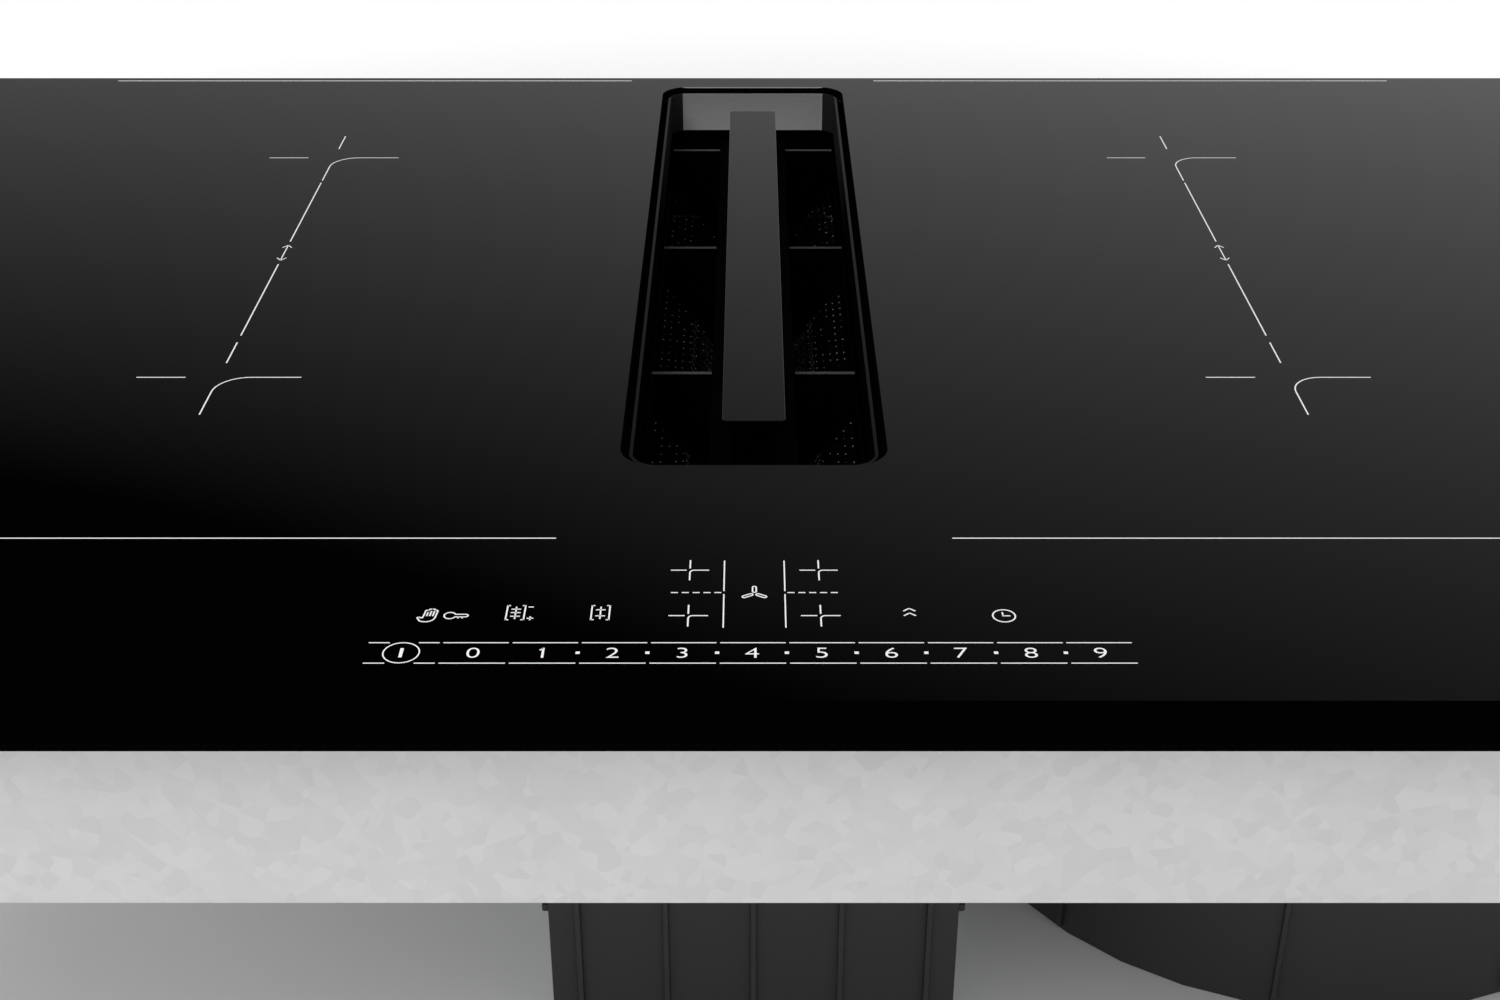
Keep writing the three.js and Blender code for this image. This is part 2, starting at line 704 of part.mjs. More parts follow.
// The end walls are ribs too; the others follow the back one at the rib pitch.
function ribPlaces() {
  const places = [filterBody.yLow + RIB_THICKNESS / 2];
  const last = filterBody.yHigh - RIB_THICKNESS / 2;
  for (let y = last; y > places[0] + RIB_PITCH / 2; y -= RIB_PITCH) {
    places.push(y);
  }
  return places;
}

// One mesh: a plate with rows of slots, drawn flat with its lower edge on the X axis. It ends short of
// the head of its slope, so that its lower corner stays under the side wall.
function filterMesh() {
  const length = filterBody.yHigh - filterBody.yLow;
  const height = Math.hypot(meshRun, meshRise) - (MESH_THICKNESS * meshRise) / meshRun;
  const plate = block(rectangle(-length / 2, length / 2, 0, height), 0, MESH_THICKNESS);
  const columns = Math.floor((length - MESH_SLOT_WIDTH) / MESH_SLOT_PITCH);
  const slots = [];
  for (let row = 0; row < MESH_SLOT_ROWS; row += 1) {
    const y = ((row + 1 / 2) * height) / MESH_SLOT_ROWS;
    for (let column = 0; column < columns; column += 1) {
      const x = (column - (columns - 1) / 2) * MESH_SLOT_PITCH;
      slots.push(block(centred(x, y, MESH_SLOT_LENGTH, MESH_SLOT_WIDTH), -CUT, MESH_THICKNESS + CUT));
    }
  }
  return cut(plate, slots);
}

// The slope that the mesh of one side lies on: it rises from the spine to the side wall.
function meshSlope(side) {
  const along = new THREE.Vector3(0, side, 0);
  const up = new THREE.Vector3(side * meshRun, 0, meshRise);
  up.normalize();
  const away = along.clone().cross(up);
  const slope = new THREE.Group();
  slope.quaternion.setFromRotationMatrix(new THREE.Matrix4().makeBasis(along, up, away));
  slope.position.set(side * meshFoot[0], (filterBody.yLow + filterBody.yHigh) / 2, meshFoot[1]);
  cooktop.add(slope);
  return slope;
}

function handleCarrier() {
  const outline = rectangle(
    -CARRIER_WIDTH / 2,
    CARRIER_WIDTH / 2,
    handle.yLow + CARRIER_END_INSET,
    handle.yHigh - CARRIER_END_INSET,
  );
  const top = handleBottom - FIT_GAP;
  const bottom = spineTop + FIT_GAP;
  const body = block(outline, bottom, top);
  return body.subtract(block(grow(outline, -SPINE_WALL), bottom - CUT, top - SPINE_WALL));
}

// The trough hangs by a lip at each end.
function liquidCollector() {
  const lipBottom = collectorTop - RIB_THICKNESS;
  const body = block(collector, collectorBottom, collectorTop);
  const hollow = block(
    grow(collector, -COLLECTOR_WALL),
    collectorBottom + COLLECTOR_WALL,
    collectorTop + CUT,
  );
  const lips = block(collectorLip, lipBottom, collectorTop);
  return body.add(lips).subtract(hollow);
}

addPiece("filter_frame", filterFrame(), BLACK_GLOSS);
for (const [side, name] of SIDES) {
  addPiece(`filter_mesh_${name}`, filterMesh(), STEEL, meshSlope(side));
}
addPiece("handle_carrier", handleCarrier(), BLACK_PLASTIC);
addPiece("handle_bar", slab(handle, HANDLE_CORNER_RADIUS, handleBottom, handleTop), BLACK_GLOSS);
addPiece("liquid_collector", liquidCollector(), GREY_PLASTIC);

// ---------------------------------------------------------------------------------------------
// Tray.

// A blower stands on each side, beside the board, and blows along the fins of the heatsink.
const blowerStart = BLOWER_ROTOR_RADIUS + BLOWER_GAP;
const blowerEnd = blowerStart + BLOWER_GROWTH;
const blowerMouthLow = blowerStart * Math.cos(TONGUE_ANGLE);
const blowerMouthLength = blowerStart * Math.sin(TONGUE_ANGLE) + BLOWER_GAP;
const heatsinkY = board.yLow + 2 * POST_INSET + HEATSINK_WIDTH / 2;
const heatsinkX = board.xHigh - POST_INSET - HEATSINK_LENGTH / 2;
const blowerX = shield.xHigh + BLOWER_GAP + blowerMouthLength;
const blowerY = (side) => heatsinkY - (side * (blowerMouthLow + blowerEnd)) / 2;

function casingTray() {
  const shell = block(tray, trayBottom, trayTop);
  const room = block(trayInner, trayFloor, trayTop - TRAY_SHEET);
  const mouth = block(grow(tray, -TRAY_FLANGE), trayFloor, trayTop + CUT);
  const opening = slab(trayOpening, wellInnerRadius, trayBottom - CUT, trayFloor + CUT);
  const notchBottom = flangeBottom - FIT_GAP;
  const notch = block(
    rectangle(
      flange.xLow - WELL_CLEARANCE,
      flange.xHigh + WELL_CLEARANCE,
      trayInner.yHigh - TRAY_FLANGE,
      tray.yHigh + CUT,
    ),
    notchBottom,
    trayTop + CUT,
  );
  const stands = [];
  const cuts = [room, mouth, opening, notch];
  for (const [side] of SIDES) {
    for (const [x, y] of pillars) {
      stands.push(post(side * x, y, PILLAR_RADIUS, trayBottom, shieldBottom - FIT_GAP, POST_SIDES));
    }
    for (const [x, y] of boardPosts) {
      stands.push(post(side * x, y, POST_RADIUS, trayBottom, boardBottom - FIT_GAP, POST_SIDES));
    }
    cuts.push(post(side * blowerX, blowerY(side), BLOWER_EYE_RADIUS, trayBottom - CUT, trayFloor + CUT));
    for (let i = 0; i < VENT_COUNT; i += 1) {
      const y = (i - (VENT_COUNT - 1) / 2) * VENT_PITCH + backCoilY;
      const wall = onSide(
        centred(trayInner.xHigh, y, 2 * TRAY_SHEET + 2 * CUT, VENT_WIDTH),
        side,
      );
      const ventMiddle = (trayFloor + shieldBottom) / 2;
      cuts.push(block(wall, ventMiddle - VENT_HEIGHT / 2, ventMiddle + VENT_HEIGHT / 2));
    }
  }
  return join([cut(shell, cuts), ...stands]);
}

addPiece("casing_tray", casingTray(), GALVANISED);

// ---------------------------------------------------------------------------------------------
// Coils. Each cooking zone is a group at the middle of its coil.

function coil() {
  const outline = centred(0, 0, COIL_WIDTH, coilDepth);
  const eye = grow(outline, -COIL_WINDING_WIDTH);
  const eyeRadius = COIL_CORNER_RADIUS - COIL_WINDING_WIDTH;
  return ring(outline, COIL_CORNER_RADIUS, eye, eyeRadius, coilBottom, coilTop);
}

function coilCarrier() {
  const outline = centred(0, 0, COIL_WIDTH, coilDepth);
  const body = slab(outline, COIL_CORNER_RADIUS, coilCarrierBottom, coilCarrierTop);
  return body.subtract(sensorHole(coilCarrierBottom, coilCarrierTop));
}

// A hub with arms that reach towards the edge of the coil.
function ferriteStar() {
  const reach = coilDepth / 2 - FERRITE_ARM_WIDTH;
  const hub = post(0, 0, FERRITE_HUB_RADIUS, ferriteBottom, ferriteTop, ROUND_SIDES);
  const arms = [];
  for (let i = 0; i < FERRITE_ARM_COUNT / 2; i += 1) {
    const geometry = new THREE.BoxGeometry(2 * reach, FERRITE_ARM_WIDTH, FERRITE_THICKNESS);
    geometry.rotateZ((2 * Math.PI * i) / FERRITE_ARM_COUNT);
    geometry.translate(0, 0, (ferriteBottom + ferriteTop) / 2);
    arms.push(toSolid(geometry));
  }
  return join([hub, ...arms]).subtract(sensorHole(ferriteBottom, ferriteTop));
}

const sensorHole = (zLow, zHigh) =>
  post(0, 0, SENSOR_RADIUS + SENSOR_CLEARANCE, zLow - CUT, zHigh + CUT);

// A spring-loaded cup that touches the glass from below.
function temperatureSensor() {
  const foot = shieldTop + FIT_GAP;
  const head = glassBottom - FIT_GAP;
  const stem = post(0, 0, SENSOR_STEM_RADIUS, foot, head);
  const cup = post(0, 0, SENSOR_RADIUS, head - SENSOR_CUP_HEIGHT, head);
  const base = post(0, 0, SENSOR_RADIUS, foot, foot + SENSOR_FOOT_HEIGHT);
  return join([stem, cup, base]);
}

for (const [side, sideName] of SIDES) {
  for (const [rowName, y] of Object.entries({ back: backCoilY, front: frontCoilY })) {
    const zone = new THREE.Group();
    zone.position.set(side * coilX, y, 0);
    cooktop.add(zone);
    addPiece(`coil_${rowName}_${sideName}`, coil(), COPPER, zone);
    addPiece(`coil_carrier_${rowName}_${sideName}`, coilCarrier(), GREY_PLASTIC, zone);
    addPiece(`ferrite_star_${rowName}_${sideName}`, ferriteStar(), FERRITE, zone);
    addPiece(`temperature_sensor_${rowName}_${sideName}`, temperatureSensor(), BLACK_PLASTIC, zone);
  }
  addPiece(`shield_plate_${sideName}`, block(onSide(shield, side), shieldBottom, shieldTop), ALUMINIUM);
}

// ---------------------------------------------------------------------------------------------
// Electronics.

// A board with its capacitors and chokes soldered on, behind the heatsink.
function powerBoard(side) {
  const [length, depth, height] = CAPACITOR_SIZE;
  const parts = [block(onSide(board, side), boardBottom, boardTop)];
  const firstX = board.xLow + 2 * POST_INSET + length / 2;
  const rowY = heatsinkY + HEATSINK_WIDTH / 2 + 2 * POST_INSET;
  for (let i = 0; i < CAPACITOR_COUNT; i += 1) {
    const capacitor = centred(firstX + i * (length + POST_INSET), rowY + depth / 2, length, depth);
    parts.push(block(onSide(capacitor, side), boardBottom, boardTop + height));
    const chokeX = side * (firstX + i * (2 * CHOKE_RADIUS + POST_INSET));
    const chokeY = rowY + depth + POST_INSET + CHOKE_RADIUS;
    parts.push(post(chokeX, chokeY, CHOKE_RADIUS, boardBottom, boardTop + CHOKE_RADIUS));
  }
  return join(parts);
}

// The fins run along X, the way the blower's air goes.
function heatsink(side) {
  const base = centred(heatsinkX, heatsinkY, HEATSINK_LENGTH, HEATSINK_WIDTH);
  const bottom = boardTop + FIT_GAP;
  const parts = [block(onSide(base, side), bottom, bottom + HEATSINK_BASE)];
  const pitch = (HEATSINK_WIDTH - FIN_THICKNESS) / (FIN_COUNT - 1);
  for (let i = 0; i < FIN_COUNT; i += 1) {
    const y = base.yLow + FIN_THICKNESS / 2 + i * pitch;
    const fin = centred(heatsinkX, y, HEATSINK_LENGTH, FIN_THICKNESS);
    parts.push(block(onSide(fin, side), bottom, bottom + HEATSINK_HEIGHT));
  }
  return join(parts);
}

// The outline of a scroll about the origin. Its mouth faces +Y.
function scrollOutline(start, growth, wall, mouth) {
  const low = start * Math.cos(TONGUE_ANGLE) - wall;
  const firstAngle = Math.acos(low / (start + wall));
  const steps = ROUND_SIDES;
  const points = [[start + growth + wall, mouth]];
  for (let i = 0; i <= steps; i += 1) {
    const angle = 2 * Math.PI - ((2 * Math.PI - firstAngle) * i) / steps;
    const radius = scrollRadius(start, growth, angle) + wall;
    points.push([radius * Math.cos(angle), radius * Math.sin(angle)]);
  }
  points.push([low, mouth]);
  return polygon(points);
}

const blowerBottom = trayFloor + FIT_GAP;
const blowerTop = blowerBottom + BLOWER_HEIGHT;

function blowerHousing() {
  const mouth = blowerMouthLength;
  const shell = prism(
    scrollOutline(blowerStart, BLOWER_GROWTH, BLOWER_WALL, mouth),
    blowerBottom,
    blowerTop,
  );
  const room = prism(
    scrollOutline(blowerStart, BLOWER_GROWTH, 0, mouth + CUT),
    blowerBottom + BLOWER_WALL,
    blowerTop - BLOWER_WALL,
  );
  const eye = post(0, 0, BLOWER_EYE_RADIUS, blowerBottom - CUT, blowerBottom + BLOWER_WALL + CUT);
  const bearing = post(0, 0, BLOWER_BEARING_RADIUS, blowerTop - BLOWER_BEARING_LENGTH, blowerTop);
  return cut(shell, [room, eye]).add(bearing);
}

function blowerRotor() {
  const top = blowerTop - BLOWER_WALL - BLOWER_PLAY;
  const bottom = blowerBottom + BLOWER_WALL + BLOWER_PLAY;
  const hubBottom = blowerTop - BLOWER_BEARING_LENGTH - BLOWER_GAP;
  const hubRadius = BLOWER_BEARING_RADIUS + BLOWER_BLADE_DEPTH;
  const disc = post(0, 0, BLOWER_ROTOR_RADIUS, top - BLOWER_WALL, top, ROUND_SIDES);
  const hub = post(0, 0, hubRadius, hubBottom, top);
  const bore = post(0, 0, BLOWER_BEARING_RADIUS + RUN_GAP, hubBottom + BLOWER_WALL, top + CUT);
  const inner = BLOWER_ROTOR_RADIUS - BLOWER_BLADE_DEPTH;
  const blades = bladeRing(
    inner,
    BLOWER_ROTOR_RADIUS,
    BLOWER_WALL,
    BLOWER_BLADE_COUNT,
    bottom + BLOWER_WALL / 2,
    top - BLOWER_WALL / 2,
  );
  const rim = turned(0, 0, [
    [BLOWER_ROTOR_RADIUS - 2 * BLOWER_WALL, bottom],
    [BLOWER_ROTOR_RADIUS, bottom],
    [BLOWER_ROTOR_RADIUS, bottom + BLOWER_WALL],
    [BLOWER_ROTOR_RADIUS - 2 * BLOWER_WALL, bottom + BLOWER_WALL],
  ]);
  return join([disc, hub, blades, rim]).subtract(bore);
}

// Curved blades around the origin, bent forwards from their inner edge.
function bladeRing(inner, outer, thickness, count, zLow, zHigh) {
  const bend = thickness * 2;
  const middle = (inner + outer) / 2;
  const tip = outer - thickness / 2;
  const outline = polygon([
    [inner, 0],
    [middle, bend / 2],
    [tip, 2 * bend],
    [tip, 2 * bend + thickness],
    [middle, bend / 2 + thickness],
    [inner, thickness],
  ]);
  const blades = [];
  for (let i = 0; i < count; i += 1) {
    const geometry = new THREE.ExtrudeGeometry(outline, { depth: zHigh - zLow, bevelEnabled: false });
    geometry.rotateZ((2 * Math.PI * i) / count);
    geometry.translate(0, 0, zLow);
    blades.push(toSolid(geometry));
  }
  return join(blades);
}

for (const [side, sideName] of SIDES) {
  addPiece(`power_board_${sideName}`, powerBoard(side), BOARD_GREEN);
  addPiece(`heatsink_${sideName}`, heatsink(side), ALUMINIUM);
  const blower = new THREE.Group();
  blower.position.set(side * blowerX, blowerY(side), 0);
  blower.rotation.z = (side * Math.PI) / 2;
  cooktop.add(blower);
  addPiece(`blower_housing_${sideName}`, blowerHousing(), BLACK_PLASTIC, blower);
  addPiece(`blower_rotor_${sideName}`, blowerRotor(), BLACK_PLASTIC, blower);
}

// The touch board lies against the glass in a plastic carrier that stands on the tray floor.
const touchBoardTop = glassBottom - FIT_GAP;
const touchBoardBottom = touchBoardTop - BOARD_THICKNESS;

function touchBoardCarrier() {
  const outer = grow(touch, TOUCH_RIM);
  const floor = touchBoardBottom - FIT_GAP;
  const bottom = floor - TOUCH_RIM;
  const dish = block(outer, bottom, touchBoardTop).subtract(
    block(grow(touch, FIT_GAP), floor, touchBoardTop + CUT),
  );
  const legs = corners(grow(touch, -POST_INSET)).map(([x, y]) =>
    post(x, y, POST_RADIUS, trayFloor + FIT_GAP, floor, POST_SIDES),
  );
  return join([dish, ...legs]);
}

addPiece("touch_board", block(touch, touchBoardBottom, touchBoardTop), BOARD_GREEN);
addPiece("touch_board_carrier", touchBoardCarrier(), BLACK_PLASTIC);

// ---------------------------------------------------------------------------------------------
// Plenum, overflow tank and inlet channel.

const bracketTop = collectorTop - RIB_THICKNESS - FIT_GAP;

function plenumHousing() {
  const shell = block(plenum, plenumBottom, plenumTop);
  const room = block(plenumInner, plenumBottom + PLENUM_WALL, plenumTop - PLENUM_WALL);
  const opening = block(
    rectangle(wellInner.xLow, wellInner.xHigh, wellInner.yLow, plenumInner.yHigh),
    plenumTop - PLENUM_WALL - CUT,
    plenumTop + CUT,
  );
  const fanWindow = block(
    rectangle(
      plenumInner.xHigh - CUT,
      plenum.xHigh + CUT,
      channel.yLow + 2 * CHANNEL_WALL,
      channel.yHigh - 2 * CHANNEL_WALL,
    ),
    channelBottom + 2 * CHANNEL_WALL,
    channelTop - 2 * CHANNEL_WALL,
  );
  const drain = post(
    0,
    (plenum.yLow + plenum.yHigh) / 2,
    DRAIN_RADIUS,
    plenumBottom - CUT,
    plenumBottom + PLENUM_WALL + CUT,
  );
  const brackets = [
    rectangle(-BRACKET_WIDTH / 2, BRACKET_WIDTH / 2, plenum.yLow, collector.yLow - WELL_CLEARANCE),
    rectangle(-BRACKET_WIDTH / 2, BRACKET_WIDTH / 2, collector.yHigh + WELL_CLEARANCE, plenum.yHigh),
  ].map((r) => block(r, bracketTop - BRACKET_THICKNESS, bracketTop));
  const skirts = [
    rectangle(plenum.xLow, plenum.xHigh, plenum.yLow, plenumInner.yLow),
    rectangle(plenum.xLow, plenum.xHigh, plenumInner.yHigh, plenum.yHigh),
  ].map((r) => block(r, baseLevel, plenumTop));
  return join([cut(shell, [room, opening, fanWindow, drain]), ...brackets, ...skirts]);
}

function overflowTank() {
  const body = slab(tank, TANK_CORNER_RADIUS, tankBottom, tankTop);
  const roomRadius = TANK_CORNER_RADIUS - TANK_WALL;
  const room = slab(grow(tank, -TANK_WALL), roomRadius, tankBottom + TANK_WALL, tankTop + CUT);
  return body.subtract(room);
}

function tankSeal() {
  const inner = grow(tank, -TANK_SEAL_WIDTH);
  const bottom = tankTop + FIT_GAP;
  const innerRadius = TANK_CORNER_RADIUS - TANK_WALL;
  return ring(tank, TANK_CORNER_RADIUS, inner, innerRadius, bottom, tankSealTop);
}

const channelHalf = IMPELLER_RADIUS - CHANNEL_SIDE_ROOM / 2;
const channel = rectangle(
  plenum.xHigh + FIT_GAP,
  fanX + channelHalf,
  fanY - channelHalf,
  fanY + channelHalf,
);

// Open towards the plenum, and with a round hole over the eye of the fan.
function inletChannel() {
  const shell = slab(channel, CHANNEL_SIDE_ROOM, channelBottom, channelTop).add(
    block(
      rectangle(channel.xLow, channel.xLow + CHANNEL_SIDE_ROOM, channel.yLow, channel.yHigh),
      channelBottom,
      channelTop,
    ),
  );
  const inner = grow(channel, -CHANNEL_WALL);
  const innerRadius = CHANNEL_SIDE_ROOM - CHANNEL_WALL;
  const bottom = channelBottom + CHANNEL_WALL;
  const top = channelTop - CHANNEL_WALL;
  const room = slab(inner, innerRadius, bottom, top);
  const entry = block(
    rectangle(channel.xLow - CUT, channel.xLow + CHANNEL_SIDE_ROOM, inner.yLow, inner.yHigh),
    bottom,
    top,
  );
  const eye = post(
    fanX,
    fanY,
    EYE_RADIUS + NOZZLE_FLANGE + NOZZLE_WALL,
    channelBottom - CUT,
    bottom + CUT,
    ROUND_SIDES,
  );
  return cut(shell, [room, entry, eye]);
}

addPiece("plenum_housing", plenumHousing(), BLACK_PLASTIC);
addPiece("overflow_tank", overflowTank(), TANK_GREY);
addPiece("tank_seal", tankSeal(), FOAM);
addPiece("inlet_channel", inletChannel(), BLACK_PLASTIC);

// ---------------------------------------------------------------------------------------------
// Main fan.

const scrollInnerBottom = baseLevel + SCROLL_WALL;
const scrollLowerTop = scrollLidBottom - FIT_GAP;

function placedScroll(wall, mouth, zLow, zHigh) {
  const geometry = new THREE.ExtrudeGeometry(
    scrollOutline(scrollStart, SCROLL_GROWTH, wall, mouth - fanY),
    { depth: zHigh - zLow, bevelEnabled: false },
  );
  geometry.translate(fanX, fanY, zLow);
  return toSolid(geometry);
}

function fanScrollLower() {
  const tub = placedScroll(SCROLL_WALL, mouthY, baseLevel, scrollLowerTop);
  const room = placedScroll(0, mouthY - SCROLL_WALL, scrollInnerBottom, scrollLowerTop + CUT);
  const mouth = block(
    rectangle(mouthLow, mouthHigh, mouthY - 2 * SCROLL_WALL, mouthY + CUT),
    outletMiddle - OUTLET_HEIGHT / 2,
    outletMiddle + OUTLET_HEIGHT / 2,
  );
  return cut(tub, [room, mouth]);
}

function fanScrollLid() {
  const lid = placedScroll(SCROLL_WALL, mouthY, scrollLidBottom, scrollTop);
  const eyeRadius = EYE_RADIUS + NOZZLE_WALL + NOZZLE_WALL;
  return lid.subtract(
    post(fanX, fanY, eyeRadius, scrollLidBottom - CUT, scrollTop + CUT, ROUND_SIDES),
  );
}

const impellerTop = scrollLidBottom - IMPELLER_TOP_GAP;
const impellerBottom = scrollInnerBottom + IMPELLER_FLOOR_GAP;

// A flared ring that leads the air from the channel into the impeller.
function inletNozzle() {
  const top = scrollTop + FIT_GAP;
  return turned(fanX, fanY, [
    [EYE_RADIUS, impellerTop + NOZZLE_GAP],
    [EYE_RADIUS + NOZZLE_WALL, impellerTop + NOZZLE_GAP],
    [EYE_RADIUS + NOZZLE_WALL, top],
    [EYE_RADIUS + NOZZLE_FLANGE, top],
    [EYE_RADIUS + NOZZLE_FLANGE, top + NOZZLE_WALL],
    [EYE_RADIUS + NOZZLE_WALL, top + NOZZLE_WALL],
    [EYE_RADIUS, top - NOZZLE_WALL],
  ]);
}

// A cage of blades on a base that domes up over the motor.
function impeller() {
  const bladeInner = IMPELLER_RADIUS - IMPELLER_BLADE_DEPTH;
  const cupInner = MOTOR_RADIUS + IMPELLER_FLOOR_GAP;
  const cupOuter = cupInner + IMPELLER_WALL;
  const cupTop = motorTop + IMPELLER_FLOOR_GAP;
  const boreRadius = SHAFT_RADIUS + FIT_GAP;
  const base = turned(0, 0, [
    [cupInner, impellerBottom],
    [IMPELLER_RADIUS, impellerBottom],
    [IMPELLER_RADIUS, impellerBottom + IMPELLER_WALL],
    [cupOuter, impellerBottom + IMPELLER_WALL],
    [cupOuter, cupTop],
    [IMPELLER_HUB_RADIUS, cupTop + IMPELLER_WALL],
    [IMPELLER_HUB_RADIUS, cupTop + 2 * IMPELLER_WALL],
    [boreRadius, cupTop + 2 * IMPELLER_WALL],
    [boreRadius, cupTop],
    [IMPELLER_HUB_RADIUS, cupTop],
    [cupInner, cupTop - IMPELLER_WALL],
  ]);
  const rim = turned(0, 0, [
    [IMPELLER_RADIUS - IMPELLER_RIM_WIDTH, impellerTop - IMPELLER_WALL],
    [IMPELLER_RADIUS, impellerTop - IMPELLER_WALL],
    [IMPELLER_RADIUS, impellerTop],
    [IMPELLER_RADIUS - IMPELLER_RIM_WIDTH, impellerTop],
  ]);
  const blades = bladeRing(
    bladeInner,
    IMPELLER_RADIUS,
    IMPELLER_BLADE_THICKNESS,
    IMPELLER_BLADE_COUNT,
    impellerBottom + IMPELLER_WALL / 2,
    impellerTop - IMPELLER_WALL / 2,
  );
  return join([base, rim, blades]);
}

const motorBottom = scrollInnerBottom + FIT_GAP;
const motorTop = motorBottom + MOTOR_HEIGHT;
const shaftBottom = motorBottom + SHAFT_SEAT_HEIGHT;
const shaftTop = motorTop + IMPELLER_FLOOR_GAP + 3 * IMPELLER_WALL;

function fanMotor() {
  const can = post(0, 0, MOTOR_RADIUS, motorBottom, motorTop, ROUND_SIDES);
  const boss = post(0, 0, MOTOR_BOSS_RADIUS, motorTop - CUT, motorTop + MOTOR_BOSS_HEIGHT);
  const bore = post(0, 0, SHAFT_RADIUS + RUN_GAP, shaftBottom - RUN_GAP, shaftTop);
  return can.add(boss).subtract(bore);
}

addPiece("fan_scroll_lower", fanScrollLower(), BLACK_PLASTIC);
addPiece("fan_scroll_lid", fanScrollLid(), BLACK_PLASTIC);
addPiece("inlet_nozzle", inletNozzle(), GREY_PLASTIC);

const fan = new THREE.Group();
fan.position.set(fanX, fanY, 0);
cooktop.add(fan);
addPiece("impeller", impeller(), GREY_PLASTIC, fan);
addPiece("fan_motor", fanMotor(), STEEL, fan);
addPiece("motor_shaft", post(0, 0, SHAFT_RADIUS, shaftBottom, shaftTop), STEEL, fan);

// ---------------------------------------------------------------------------------------------
// Outlet duct and its flap.

const ductStart = mouthY + FIT_GAP;
const ductInnerTop = outletMiddle + OUTLET_HEIGHT / 2;
const ductInnerBottom = outletMiddle - OUTLET_HEIGHT / 2;
const ductLeftAt = (y) =>
  mouthLow + ((outletLow - mouthLow) * (y - ductStart)) / (outletY - ductStart);

function ductPlan(wall, overrun) {
  return polygon([
    [ductLeftAt(ductStart - overrun) - wall, ductStart - overrun],
    [mouthHigh + wall, ductStart - overrun],
    [mouthHigh + wall, outletY + overrun],
    [ductLeftAt(outletY + overrun) - wall, outletY + overrun],
  ]);
}

function outletDuct() {
  const outer = prism(ductPlan(DUCT_WALL, 0), ductInnerBottom - DUCT_WALL, ductInnerTop + DUCT_WALL);
  const inner = prism(ductPlan(0, CUT), ductInnerBottom, ductInnerTop);
  const collar = block(
    rectangle(
      outletLow - DUCT_WALL - OUTLET_FLANGE,
      mouthHigh + DUCT_WALL + OUTLET_FLANGE,
      outletY - OUTLET_FLANGE_THICKNESS,
      outletY,
    ),
    ductInnerBottom - DUCT_WALL - OUTLET_FLANGE,
    ductInnerTop + DUCT_WALL + OUTLET_FLANGE,
  );
  const pinHoles = pin(
    ductLeftAt(flapY) - DUCT_WALL - 2 * FLAP_BARREL_RADIUS,
    mouthHigh + DUCT_WALL + CUT,
    flapY,
    flapAxisZ,
    FLAP_PIN_RADIUS + RUN_GAP,
  );
  return cut(outer.add(collar), [inner, pinHoles]);
}

// The flap hangs from a pin at its top edge, and the air swings it towards the outlet.
const flapY = ductStart + FLAP_SETBACK;
const flapAxisZ = ductInnerTop - FLAP_BARREL_RADIUS - FLAP_CLEARANCE;

function backdraftFlap() {
  const xLow = ductLeftAt(flapY - FLAP_BARREL_RADIUS) + FLAP_CLEARANCE;
  const xHigh = mouthHigh - FLAP_CLEARANCE;
  const leaf = block(
    rectangle(xLow, xHigh, flapY - FLAP_THICKNESS / 2, flapY + FLAP_THICKNESS / 2),
    ductInnerBottom + FLAP_CLEARANCE,
    flapAxisZ,
  );
  const barrel = pin(xLow, xHigh, flapY, flapAxisZ, FLAP_BARREL_RADIUS);
  const axle = pin(ductLeftAt(flapY) - DUCT_WALL, mouthHigh + DUCT_WALL, flapY, flapAxisZ, FLAP_PIN_RADIUS);
  return join([leaf, barrel, axle]);
}

addPiece("outlet_duct", outletDuct(), BLACK_PLASTIC);
addPiece("backdraft_flap", backdraftFlap(), GREY_PLASTIC);

// ---------------------------------------------------------------------------------------------
// Mains terminal box under the tray, with its cover, block and cable gland.

const [terminalWidth, terminalDepth, terminalHeight] = TERMINAL_BOX_SIZE;
const terminal = rectangle(
  tray.xLow + TERMINAL_BOX_INSET,
  tray.xLow + TERMINAL_BOX_INSET + terminalWidth,
  tray.yHigh - 2 * TERMINAL_EAR - terminalDepth,
  tray.yHigh - 2 * TERMINAL_EAR,
);
const terminalTop = trayBottom - FIT_GAP;
const terminalBottom = terminalTop - terminalHeight;
const coverAxisY = terminal.yHigh + FIT_GAP + COVER_THICKNESS + COVER_PIN_RADIUS;
const coverAxisZ = terminalTop - TERMINAL_EAR + COVER_PIN_RADIUS;
const glandY = (terminal.yLow + terminal.yHigh) / 2;
const glandZ = (terminalTop + terminalBottom) / 2;

